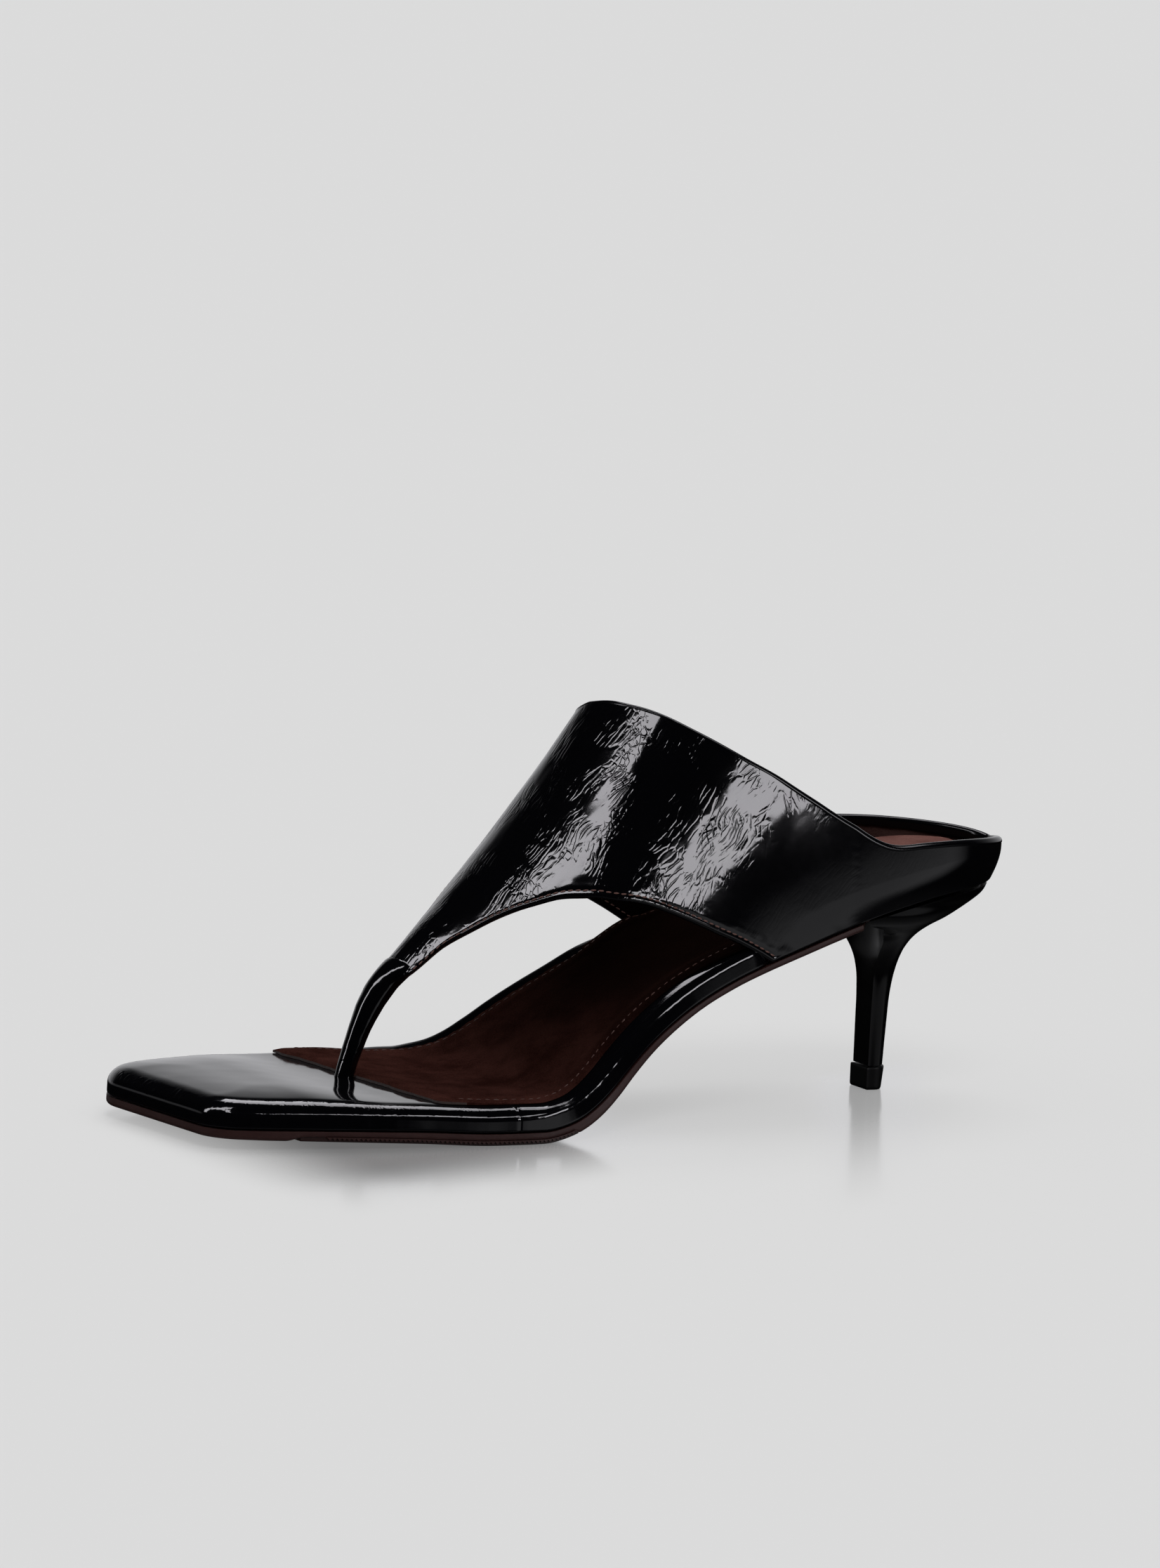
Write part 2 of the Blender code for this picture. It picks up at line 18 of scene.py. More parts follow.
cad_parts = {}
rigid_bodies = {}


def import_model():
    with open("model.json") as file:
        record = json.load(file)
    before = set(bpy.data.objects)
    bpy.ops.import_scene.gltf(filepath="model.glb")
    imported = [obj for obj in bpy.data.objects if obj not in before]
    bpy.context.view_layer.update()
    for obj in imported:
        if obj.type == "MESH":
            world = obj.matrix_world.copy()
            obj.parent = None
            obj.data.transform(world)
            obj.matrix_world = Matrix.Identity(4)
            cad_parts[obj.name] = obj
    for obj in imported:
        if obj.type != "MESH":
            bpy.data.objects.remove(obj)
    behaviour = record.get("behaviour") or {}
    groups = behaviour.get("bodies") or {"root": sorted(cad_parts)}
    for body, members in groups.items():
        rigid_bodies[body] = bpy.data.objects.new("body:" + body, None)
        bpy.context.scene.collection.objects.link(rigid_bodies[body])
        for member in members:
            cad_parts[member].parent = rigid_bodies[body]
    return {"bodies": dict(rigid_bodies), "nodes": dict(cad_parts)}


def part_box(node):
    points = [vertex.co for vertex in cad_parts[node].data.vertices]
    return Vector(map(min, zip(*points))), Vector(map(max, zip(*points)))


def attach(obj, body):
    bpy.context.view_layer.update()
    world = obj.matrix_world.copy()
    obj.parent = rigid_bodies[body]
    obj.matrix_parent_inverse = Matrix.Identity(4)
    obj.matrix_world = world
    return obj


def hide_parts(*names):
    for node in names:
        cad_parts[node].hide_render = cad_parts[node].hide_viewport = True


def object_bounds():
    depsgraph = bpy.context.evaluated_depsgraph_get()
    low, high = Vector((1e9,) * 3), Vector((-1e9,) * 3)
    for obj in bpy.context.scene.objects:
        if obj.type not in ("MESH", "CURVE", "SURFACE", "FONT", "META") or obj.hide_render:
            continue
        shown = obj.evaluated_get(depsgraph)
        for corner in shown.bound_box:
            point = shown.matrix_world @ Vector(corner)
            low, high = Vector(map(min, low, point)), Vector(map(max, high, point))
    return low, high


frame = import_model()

MM = 0.001
cad_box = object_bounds()
BODY = next(iter(frame["bodies"]))
print("body:", BODY, " nodes:", ", ".join(sorted(frame["nodes"])))

# %% [markdown]
# ## The camera
#
# A long lens a couple of metres away shows a shoe without swelling its toe. The camera looks a little
# down on the outer side from the toe's end, and it is rolled by two degrees. Its place is worked out
# from the middle of the frame, so that it follows the sandal if the frame changes.

# %% Place the camera
AZIMUTH, ELEVATION, ROLL = 61.0, 9.53, 2.2      # degrees
DISTANCE = 2.088
LENS = 199.5
NEAREST, FARTHEST = 0.05, 60.0
TARGET_FORWARD, TARGET_HEIGHT = 0.0020, 0.354   # metres before the middle, share of the height
AIM_RIGHT, AIM_UP = 0.0020, 0.0429


def direction(azimuth, elevation):
    """The way out from the sandal, in degrees: azimuth 0 is off the toe, 90 off the outer side."""
    a, e = math.radians(azimuth), math.radians(elevation)
    return Vector((math.sin(a) * math.cos(e), -math.cos(a) * math.cos(e), math.sin(e)))


def facing(way, roll=0.0):
    """The turn of a camera or lamp that has its back to a way, rolled by some degrees."""
    return way.to_track_quat("Z", "Y") @ Quaternion((0.0, 0.0, 1.0), math.radians(roll))


def add_object(name, data):
    added = bpy.data.objects.new(name, data)
    bpy.context.scene.collection.objects.link(added)
    return added


low, high = cad_box
target = Vector((0.0, (low.y + high.y) / 2.0 - TARGET_FORWARD, high.z * TARGET_HEIGHT))
way_out = direction(AZIMUTH, ELEVATION)
aim = target + facing(way_out, ROLL) @ Vector((AIM_RIGHT, AIM_UP, 0.0))
eye = target + way_out * DISTANCE

camera = add_object("camera", bpy.data.cameras.new("camera"))
camera.data.lens = LENS
camera.data.clip_start, camera.data.clip_end = NEAREST, FARTHEST
camera.location = eye
camera.rotation_mode = "QUATERNION"
camera.rotation_quaternion = facing(eye - aim, ROLL)
bpy.context.scene.camera = camera
print("camera at", tuple(round(c, 3) for c in eye))

# %% [markdown]
# ## The curves that the sandal is drawn with
#
# Leather pieces follow the last, the foot-shaped block that a shoe is made over. The frame's pieces
# were made from a few tables: the outline of the footbed, the rise of the sole, the ridge of the last
# and the two edges of the upper. The detailed pieces need the same curves at a closer step, so the
# tables are given again here. Back is the distance behind the toe. Station is the same as back until
# the heel starts to round, and from there it counts degrees. All sizes are in millimetres.

# %% Tables of the last
TOE_LINE, TOE_SKEW, SKEW_FADE = 8.6, 0.115, (15.0, 60.0)
HEEL_START, HEEL_BACK, HEEL_END = 184.0, 234.2, 274.0
TOE_CORNER = {"lateral": 6.0, "medial": 9.0}
GAP = 0.3
BOARD_THICKNESS, BOARD_ROUND = 5.2, 2.5
SOCK_THICKNESS, SOCK_INSET, SOCK_CLEARANCE, SOCK_WIDENS = 1.1, 3.6, 0.4, 25.0
SOCK_FRONT = {"lateral": 65.0, "medial": 57.5}
UPPER_WALL, WALL_LEAD = 1.6, (1.4, 0.2)
OUTSOLE_ROUND, OUTSOLE_END, OUTSOLE_TUCK, TUCK_STATIONS = 0.9, 210.0, 5.0, (187.0, 191.5)

toe_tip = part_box("footbed")[0].y / MM
REST_BACK = 85.5

OUTLINE = {
    "station": (8.0, 20.0, 32.0, 48.0, 64.0, 78.0, 91.0, 110.0, 130.0, 150.0, 170.0, 184.0),
    "lateral": (25.8, 30.1, 32.8, 36.0, 38.9, 41.2, 42.6, 39.6, 32.0, 28.6, 26.0, 24.9),
    "medial": (24.8, 30.5, 34.2, 37.6, 39.2, 39.6, 39.0, 33.6, 26.8, 24.8, 24.3, 24.5),
}
RISE = {
    "back": (0.0, 20.0, 40.0, 60.0, 80.0, 91.0, 97.0, 103.0, 108.0, 113.0, 118.0, 124.0, 130.0,
             140.0, 150.0, 160.0, 170.0, 180.0, 190.0, 200.0, 212.0, 225.0, 240.0),
    "height": (3.2, 2.5, 1.8, 1.0, 0.0, 0.0, 0.8, 2.7, 5.5, 9.3, 13.5, 18.0, 21.9, 27.7, 32.1,
               35.4, 38.4, 41.5, 44.4, 46.6, 48.4, 49.2, 49.5),
}
OUTSOLE_THICKNESS = {
    "back": (0.0, 40.0, 80.0, 105.0, 125.0, 150.0, 240.0),
    "thickness": (2.0, 2.5, 2.8, 2.6, 1.9, 1.6, 1.6),
}
RIDGE = {
    "back": (60.0, 74.0, 82.0, 90.0, 100.0, 113.0, 127.0, 145.0, 165.0, 190.0, 240.0),
    "height": (24.0, 38.5, 46.2, 53.5, 64.1, 80.3, 99.5, 121.0, 144.0, 168.0, 190.0),
    "lateral": (-3.2, -3.2, -3.4, -3.8, -4.4, -5.2, -6.0, -6.0, -5.0, -3.0, 0.0),
    "roll": (0.08, 0.08, 0.045, 0.018, 0.006, 0.0, 0.0, 0.0, 0.0, 0.0, 0.0),
}
TONGUE_BACK = 73.0
COLLAR = {
    "angle": (90.0, 80.5, 69.5, 56.8, 45.0, 33.5, 24.0, 16.6, 12.0, 9.2, 7.7, 6.9, 6.0, 5.1, 4.2),
    "lateral": (125.6, 127.2, 130.1, 135.5, 142.6, 152.4, 164.0, 175.6, 184.4, 191.2, 197.5, 206.5, 221.0,
                243.0, 274.0),
    "medial": (125.6, 125.2, 126.6, 130.9, 138.0, 148.8, 161.8, 174.4, 184.0, 191.2, 197.5, 206.5, 221.0,
               243.0, 274.0),
}
CUTOUT = {
    "lateral": {
        "station": (73.0, 82.0, 88.0, 93.0, 98.0, 103.0, 108.2, 114.3, 120.0, 127.0, 135.0, 143.0,
                    150.0, 160.0),
        "angle": (82.0, 78.8, 74.3, 69.2, 63.2, 55.8, 46.6, 37.4, 30.4, 22.8, 15.5, 9.5, 5.3, 0.0),
    },
    "medial": {
        "station": (73.0, 82.0, 88.0, 93.0, 98.0, 103.0, 108.2, 114.3, 120.0, 127.0, 135.0, 143.0,
                    149.0, 154.0),
        "angle": (82.0, 78.8, 74.3, 69.2, 63.0, 55.4, 46.0, 36.6, 29.4, 21.6, 14.0, 7.5, 3.2, 0.0),
    },
}
FLARE, FLARE_HEIGHT, FLARE_START, FLARE_FULL, FLARE_CENTRE = 0.095, 9.0, 160.0, 200.0, 203.0
HEEL_ROUNDNESS = 2.0
HEEL_SECTIONS = {
    "height": (6.0, 17.0, 24.0, 29.0, 33.0, 35.5, 38.0, 40.5, 42.5, 44.0, 46.0, 48.5, 53.0),
    "front": (202.0, 202.1, 202.2, 202.1, 201.8, 201.4, 200.6, 199.2, 195.6, 190.5, 188.0, 187.5, 187.5),
    "breast": (202.0, 202.1, 202.2, 202.3, 202.5, 202.8, 203.2, 203.6, 204.0, 204.2, 204.4, 204.6, 204.8),
    "widest": (204.2, 204.4, 204.6, 204.8, 205.0, 205.0, 204.6, 203.6, 201.0, 197.5, 192.5, 188.5, 188.5),
    "back": (207.4, 208.2, 208.8, 209.7, 210.7, 211.5, 212.6, 214.3, 217.3, 221.3, 226.0, 231.2, 234.4),
    "half": (3.9, 3.9, 4.1, 4.8, 6.4, 8.2, 11.0, 15.0, 19.0, 21.8, 24.0, 24.7, 24.9),
    "front_half": (3.6, 3.7, 3.9, 4.4, 6.0, 8.0, 10.6, 12.8, 18.2, 21.6, 23.9, 24.7, 24.9),
}
TIP_HEIGHT, TIP_LEDGE, TIP_TAPER = 6.0, 0.45, 0.9
print("tables say the toe is at", round(TOE_LINE - REST_BACK, 1), "mm, the frame", round(toe_tip, 1))

# %% [markdown]
# A smooth curve through a table's rows is what a draughtsman's spline gives. The slope at each row is
# limited by its neighbours, so the curve never swings past them. The other helpers turn a place on
# the last into a point in space.

# %% Helpers for the curves


def smooth(table, key, column, at):
    """Read a table's column at a place, on a smooth curve through its rows."""
    xs, ys = table[key], table[column]
    at = min(max(at, xs[0]), xs[-1])
    last = len(xs) - 2
    row = next((i for i in range(last) if at <= xs[i + 1]), last)

    def slope(i):
        if i == 0:
            return (ys[1] - ys[0]) / (xs[1] - xs[0])
        if i == len(xs) - 1:
            return (ys[-1] - ys[-2]) / (xs[-1] - xs[-2])
        before, after = xs[i] - xs[i - 1], xs[i + 1] - xs[i]
        rise_before, rise_after = (ys[i] - ys[i - 1]) / before, (ys[i + 1] - ys[i]) / after
        if rise_before * rise_after <= 0.0:
            return 0.0
        return (rise_before * after + rise_after * before) / (before + after)

    width = xs[row + 1] - xs[row]
    t = (at - xs[row]) / width
    return (
        (2 * t**3 - 3 * t**2 + 1) * ys[row]
        + (t**3 - 2 * t**2 + t) * width * slope(row)
        + (3 * t**2 - 2 * t**3) * ys[row + 1]
        + (t**3 - t**2) * width * slope(row + 1)
    )


def ease(value, low, high):
    """0 below low, 1 above high, and smooth between."""
    t = min(max((value - low) / (high - low), 0.0), 1.0)
    return t * t * (3.0 - 2.0 * t)


def steps(first, last, count):
    return [first + (last - first) * i / count for i in range(count + 1)]


def half_width(station, side):
    """Half width of the footbed at a station, with the toe's rounded corner taken off."""
    radius = TOE_CORNER[side]
    width = smooth(OUTLINE, "station", side, station)
    short = min(max(radius - (station - TOE_LINE), 0.0), radius)
    return width - radius + math.sqrt(radius * radius - short * short)


def footprint(station, side, inset=0.0):
    """Signed x and back of the footbed's edge at a station."""
    sign = 1.0 if side == "lateral" else -1.0
    if station <= HEEL_START:
        x = sign * (half_width(station, side) - inset)
        return x, station + TOE_SKEW * (1.0 - ease(station, *SKEW_FADE)) * x
    turn = math.radians(min(station, HEEL_END) - HEEL_START)
    x = sign * (half_width(HEEL_START, side) - inset) * math.cos(turn)
    return x, HEEL_START + (HEEL_BACK - HEEL_START - inset) * math.sin(turn)


def back_of(place):
    """Distance behind the toe of a place in metres."""
    return place.y / MM + REST_BACK


def rise(back):
    return smooth(RISE, "back", "height", back)


def outsole_thickness(back):
    return smooth(OUTSOLE_THICKNESS, "back", "thickness", back)


def board_top(back):
    return outsole_thickness(back) + GAP + BOARD_THICKNESS


def steepness(back):
    return rise(back + 0.5) - rise(back - 0.5)


def on_sole(x, back, height):
    """A place at a height square to the outsole's tread face, in metres."""
    slope = steepness(back)
    length = math.sqrt(1.0 + slope * slope)
    return Vector((x, back - REST_BACK - height * slope / length, rise(back) + height / length)) * MM


def on_last(station, angle, side):
    """A place on the outside of the upper, in metres."""
    x, back = footprint(station, side)
    ridge_x = smooth(RIDGE, "back", "lateral", back)
    slope = steepness(back)
    feather = rise(back) + (outsole_thickness(back) + GAP) * math.sqrt(1.0 + slope * slope)
    turn = math.radians(angle)
    sideways = (x - ridge_x) * math.cos(turn)
    up = (smooth(RIDGE, "back", "height", back) - feather) * math.sin(turn)
    z = feather + up - smooth(RIDGE, "back", "roll", back) * sideways * sideways
    swell = FLARE * math.sin(math.radians(90.0 * min(up / FLARE_HEIGHT, 1.0)))
    swell *= ease(back, FLARE_START, FLARE_FULL)
    y = FLARE_CENTRE + (back - FLARE_CENTRE) * (1.0 + swell) - REST_BACK
    return Vector(((ridge_x + sideways) * (1.0 + swell), y, z)) * MM


# %% [markdown]
# ## Shaders as short sums
#
# Every finish is built from a few textures and a little arithmetic. The arithmetic reads best as
# ordinary Python, so a small class wraps a node's output and gives it the usual operators. Any other
# node comes from one method that takes its type, its settings and its input values.

# %% A small language for materials


class Signal:
    """A number that changes over a surface. Operators on it add Math nodes."""

    def __init__(self, shader, socket):
        self.shader, self.socket = shader, socket

    def math(self, operation, *values):
        return self.shader.node("Math", {"operation": operation}, dict(enumerate(values)))

    def __add__(self, other):
        return self.math("ADD", self, other)

    def __sub__(self, other):
        return self.math("SUBTRACT", self, other)

    def __rsub__(self, other):
        return self.math("SUBTRACT", other, self)

    def __mul__(self, other):
        return self.math("MULTIPLY", self, other)

    __radd__, __rmul__ = __add__, __mul__

    def fade(self, start, end):
        """0 at start, 1 at end, and smooth between; start may be the larger."""
        low, high, first, last = (start, end, 0.0, 1.0) if start < end else (end, start, 1.0, 0.0)
        settings = {"interpolation_type": "SMOOTHSTEP"}
        values = {"Value": self, "From Min": low, "From Max": high, "To Min": first, "To Max": last}
        return self.shader.node("MapRange", settings, values)


class Shader:
    """A material, and the one method that adds nodes to it."""

    def __init__(self, name, **constants):
        self.material = bpy.data.materials.new(name)
        self.material.use_nodes = True
        self.tree = self.material.node_tree
        self.surface = self.tree.nodes["Principled BSDF"]
        for key, value in constants.items():
            self.feed(self.surface.inputs[key.replace("_", " ")], value)

    def feed(self, socket, value):
        if isinstance(value, Signal):
            self.tree.links.new(value.socket, socket)
        elif isinstance(value, tuple) and len(value) == 3 and socket.type == "RGBA":
            socket.default_value = (*value, 1.0)
        else:
            socket.default_value = value

    def node(self, kind, settings, values, output=0):
        node = self.tree.nodes.new("ShaderNode" + kind)
        for key, value in settings.items():
            setattr(node, key, value)
        for key, value in values.items():
            self.feed(node.inputs[key], value)
        return Signal(self, node.outputs[output])

    def set(self, name, signal):
        self.feed(self.surface.inputs[name], signal)

    def place(self):
        return self.node("TexCoord", {}, {}, "Object")

    def split(self, place):
        """The three coordinates of a place."""
        return [self.node("SeparateXYZ", {}, {0: place}, axis) for axis in (0, 1, 2)]

    def noise(self, place, scale, detail=2.0, roughness=0.5, output="Fac"):
        values = {"Vector": place, "Scale": scale, "Detail": detail, "Roughness": roughness}
        return self.node("TexNoise", {}, values, output)

    def attribute(self, name):
        return self.node("Attribute", {"attribute_name": name}, {}, "Fac")

    def mix(self, factor, first, second):
        """Two colours by a factor."""
        return self.node("Mix", {"data_type": "RGBA"}, {"Factor": factor, 6: first, 7: second}, 2)

    def bump(self, height, distance):
        """Distance is how high 1 of the height stands, in metres."""
        values = {"Height": height, "Distance": distance, "Strength": 1.0}
        self.set("Normal", self.node("Bump", {}, values))


print("shader helpers ready")

# %% [markdown]
# ## Crinkled patent leather
#
# Patent leather is leather under a thick clear film. When it is crinkled, the film shows bundles of
# fine branching creases that run roughly one way. Creases are borders between long cells, so the
# distance to the edge of a stretched cell pattern draws them, and a slow noise bends them first and
# then decides where they gather. They only disturb the shine, so they go into the bump.

# %% Patent leather
CREASE_LEAN = math.radians(-41.0)
SHORT_CREASE_TURN = 0.75  # radians between the long creases and the short ones across them
PATENT_BLACK = (0.0011, 0.0011, 0.0016)
FILM_RELIEF = 0.000042


def creases(shader, place, lean, cell, stretch, width):
    """1 on the borders of long cells, which are cell wide, stretch times as long, and lean about X."""
    settings = {"vector_type": "TEXTURE"}
    values = {"Vector": place, "Rotation": (lean, 0.0, 0.0), "Scale": (1.0, 1.0, stretch)}
    turned = shader.node("Mapping", settings, values)
    values = {"Vector": turned, "Scale": 1.0 / cell, "Randomness": 1.0}
    edge = shader.node("TexVoronoi", {"feature": "DISTANCE_TO_EDGE"}, values, "Distance")
    return edge.fade(width / cell, 0.0)


def bent(shader, place, scale, amount):
    """The place moved about by a slow noise."""
    drift = shader.noise(place, scale, 2.0, 0.5, "Color")
    centred = shader.node("VectorMath", {"operation": "SUBTRACT"}, {0: drift, 1: (0.5, 0.5, 0.5)})
    moved = shader.node("VectorMath", {"operation": "SCALE"}, {0: centred, "Scale": amount})
    return shader.node("VectorMath", {"operation": "ADD"}, {0: place, 1: moved})


def make_patent(name, ior, roughness, crinkled=False):
    shader = Shader(name, Base_Color=PATENT_BLACK, IOR=ior, Roughness=roughness)
    place = shader.place()
    grain = shader.noise(place, 1500.0, 3.0, 0.6)
    height = grain * 0.03 + shader.noise(place, 420.0, 3.0, 0.6) * 0.10
    if crinkled:
        curved = bent(shader, bent(shader, place, 380.0, 0.0007), 55.0, 0.008)
        gather = shader.noise(place, 95.0, 3.0).fade(0.42, 0.57)
        across = shader.noise(place, 120.0, 2.0).fade(0.50, 0.64)
        long_ones = creases(shader, curved, CREASE_LEAN, 0.0014, 6.5, 0.00030)
        short_ones = creases(shader, curved, CREASE_LEAN + SHORT_CREASE_TURN, 0.0015, 4.5, 0.00026)
        amount = shader.attribute("crinkle")
        height = height - (long_ones * gather + short_ones * across * 0.8) * amount
        shader.set("Roughness", roughness + shader.noise(place, 400.0, 3.0) * 0.04)
    shader.bump(height, FILM_RELIEF)
    return shader.material


patent = make_patent("patent_crinkled", 1.36, 0.06, True)
smooth_patent = make_patent("patent_smooth", 1.22, 0.16)
print("patent leather made")

# %% [markdown]
# ## Suede, resin, thread and moulded plastic
#
# Suede is a nap: it has no shine of its own, its colour wanders with the lie of the fibres, and it
# glows a little at a grazing angle, which sheen gives. The outsole is a satin resin. Thread is
# twisted, so its bump is a fine slant. The heel is sprayed plastic with a soft orange peel.

# %% The other finishes
# Painted shade: the suede is darkened towards near black under the vamp, where the vamp keeps the light
# off; it fades in and out between these places along Y.
PAINTED_SHADE_START, PAINTED_SHADE_END = (0.002, 0.050), (0.104, 0.078)   # along Y, in metres
PAINTED_SHADE_STRENGTH, PAINTED_SHADE_COLOUR = 0.94, (0.0004, 0.0002, 0.0002)
# Painted light: over the heel the suede turns to paler tones, for the light that falls in there, between
# these places along Y.
PAINTED_LIGHT_START = (0.092, 0.112)


def make_suede(name, dark, light, pale, sheen):
    """Suede between two tones, with painted shade under the vamp and painted light over the heel."""
    shader = Shader(
        name, Roughness=1.0, Specular_IOR_Level=0.0,
        Sheen_Weight=sheen, Sheen_Roughness=0.4, Sheen_Tint=(0.9, 0.42, 0.32),
    )
    place = shader.place()
    brushed = bent(shader, place, 60.0, 0.006)
    swirl = shader.noise(brushed, 90.0, 4.0, 0.62)
    fibres = shader.noise(place, 2600.0, 2.0, 0.7)
    tone = (swirl * 0.6 + fibres * 0.4).fade(0.34, 0.66)
    y = shader.split(place)[1]
    # painted shade, darker under the vamp
    painted_shade = y.fade(*PAINTED_SHADE_START) * y.fade(*PAINTED_SHADE_END) * PAINTED_SHADE_STRENGTH
    napped = shader.mix(tone, dark, light)
    # painted light: paler tones over the heel
    painted_light_over_heel = shader.mix(tone, *pale)
    napped = shader.mix(y.fade(*PAINTED_LIGHT_START), napped, painted_light_over_heel)
    shader.set("Base Color", shader.mix(painted_shade, napped, PAINTED_SHADE_COLOUR))
    shader.bump(fibres + shader.noise(place, 900.0, 2.0) * 0.8, 0.00009)
    return shader.material


def make_resin(name, dark, light):
    shader = Shader(name, IOR=1.25)
    place = shader.place()
    cloud = shader.noise(place, 160.0, 4.0, 0.6)
    scuff = shader.noise(place, 900.0, 3.0, 0.7).fade(0.55, 0.75)
    shader.set("Base Color", shader.mix(cloud, dark, light))
    shader.set("Roughness", 0.36 + cloud * 0.12 + scuff * 0.15)
    shader.bump(shader.noise(place, 1800.0, 3.0, 0.6), 0.00003)
    return shader.material


def make_thread(name, dark, light):
    shader = Shader(name, Roughness=0.6, Specular_IOR_Level=0.2)
    place = shader.place()
    twist = shader.noise(place, 4200.0, 1.0)
    shader.set("Base Color", shader.mix(twist, dark, light))
    shader.bump(twist, 0.00006)
    return shader.material


def make_heel_finish(name, colour, ior, roughness):
    shader = Shader(name, Base_Color=colour, IOR=ior)
    place = shader.place()
    peel = shader.noise(place, 700.0, 2.0)
    shader.set("Roughness", roughness + shader.noise(place, 220.0, 4.0, 0.6) * 0.08)
    shader.bump(peel, 0.000012)
    return shader.material


def make_raw_edge():
    shader = Shader("suede_cut_edge", Roughness=0.95)
    fluff = shader.noise(shader.place(), 1400.0, 3.0, 0.7)
    shader.set("Base Color", shader.mix(fluff, (0.010, 0.005, 0.004), (0.060, 0.034, 0.027)))
    shader.bump(fluff, 0.0002)
    return shader.material


# The seat and collar tones are paler than the suede's own colour, as painted light over the heel.
SOCK_TONES = (0.0095, 0.0027, 0.0021), (0.034, 0.0122, 0.0097)
SEAT_PAINTED_LIGHT_TONES = (0.078, 0.035, 0.030), (0.125, 0.060, 0.052)
LINING_TONES = (0.012, 0.0055, 0.0045), (0.030, 0.016, 0.0135)
COLLAR_PAINTED_LIGHT_TONES = (0.022, 0.010, 0.009), (0.050, 0.026, 0.023)
suede = make_suede("suede_sock", *SOCK_TONES, SEAT_PAINTED_LIGHT_TONES, 0.03)
lining_suede = make_suede("suede_lining", *LINING_TONES, COLLAR_PAINTED_LIGHT_TONES, 0.03)
raw_edge = make_raw_edge()
resin = make_resin("sole_resin", (0.018, 0.0066, 0.0060), (0.036, 0.0145, 0.0130))
patch_resin = make_resin("tread_resin", (0.012, 0.005, 0.0045), (0.022, 0.009, 0.008))
thread = make_thread("thread_upper", (0.045, 0.018, 0.014), (0.17, 0.085, 0.07))
sock_thread = make_thread("thread_sock", (0.022, 0.007, 0.005), (0.085, 0.036, 0.026))
heel_finish = make_heel_finish("heel_black", (0.0010, 0.0010, 0.0012), 1.20, 0.15)
lift_finish = make_heel_finish("lift_black", (0.0015, 0.0015, 0.0016), 1.15, 0.34)
print("finishes:", ", ".join(sorted(m.name for m in bpy.data.materials)))

# %% [markdown]
# ## Turning a bmesh into a piece
#
# Each piece ends in the same way: its mesh goes into an object at the origin, gets its finishes and
# its shading, and rides on the frame's only body.

# %% Finish a piece


def into_mesh(name, bm):
    mesh = bpy.data.meshes.new(name)
    bm.to_mesh(mesh)
    bm.free()
    return mesh


def make_piece(name, bm, materials, replaced=(), sharp=40.0):
    """An object with smooth shading, and edges sharper than some degrees kept crisp."""
    mesh = into_mesh(name, bm)
    for material in materials:
        mesh.materials.append(material)
    mesh.shade_smooth()
    mesh.set_sharp_from_angle(angle=math.radians(sharp))
    piece = add_object(name, mesh)
    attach(piece, BODY)
    if replaced:
        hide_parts(*replaced)
    print(name, len(mesh.polygons), "faces")
    return piece


def add_wall(piece, thickness):
    """Give a skin its thickness in mm, inwards from the face that was modelled."""
    wall = piece.modifiers.new("wall", "SOLIDIFY")
    wall.thickness = thickness * MM
    wall.offset = -1.0


def move_all(bm, place_of):
    """Lay every vertex at place_of(vert). All places are found before the first vertex moves."""
    moves = [(vert, place_of(vert)) for vert in bm.verts]
    for vert, place in moves:
        vert.co = place


def skin(columns, rows, lay):
    """A tube of quads that closes on itself: lay(column, row) gives each place. The ends are closed."""
    bm = bmesh.new()
    bmesh.ops.create_grid(bm, x_segments=columns, y_segments=rows - 1, size=0.5)
    for vert in bm.verts:
        column = round((vert.co.x + 0.5) * columns) % columns
        vert.co = lay(column, round((vert.co.y + 0.5) * (rows - 1)))
    bmesh.ops.remove_doubles(bm, verts=bm.verts, dist=1e-7)
    bmesh.ops.holes_fill(bm, edges=bm.edges, sides=0)
    bmesh.ops.recalc_face_normals(bm, faces=bm.faces)
    return bm


def wave(place, size, seed=0.0):
    """A smooth bump between -1 and 1 that is about size mm across, at a place in metres."""
    return noise.noise(place / (size * MM) + Vector((seed, seed * 0.7, 0.0)))


# %% [markdown]
# ## The upper
#
# One piece of patent leather makes the vamp and the quarters. It hangs between two lines on the last:
# the collar above, and below it the cut-outs and the feather line, where the leather goes under the
# sock. Ribs join the two lines. A grid is laid along the ribs, close enough to carry soft dents, and
# each point is moved a little in or out. Near a turned edge the leather rounds over.

# %% Ribs of the upper
COLLAR_MATCH = {"tongue": 0.8, "cutout": 7.1}
CLOSE_RUN = 240           # steps in a close run of places along an edge


def edge_line(points, count):
    """Station and angle at equal distances along an edge of the upper, from a close run of points."""
    places = [on_last(station, angle, side) for station, angle, side in points]
    travelled = [0.0]
    for before, after in zip(places, places[1:]):
        travelled.append(travelled[-1] + (after - before).length)
    line, row = [], 0
    for distance in steps(0.0, travelled[-1], count):
        while row < len(points) - 2 and travelled[row + 1] < distance:
            row += 1
        share = (distance - travelled[row]) / (travelled[row + 1] - travelled[row])
        here, there = points[row], points[row + 1]
        line.append(tuple(here[i] + share * (there[i] - here[i]) for i in (0, 1)))
    return line


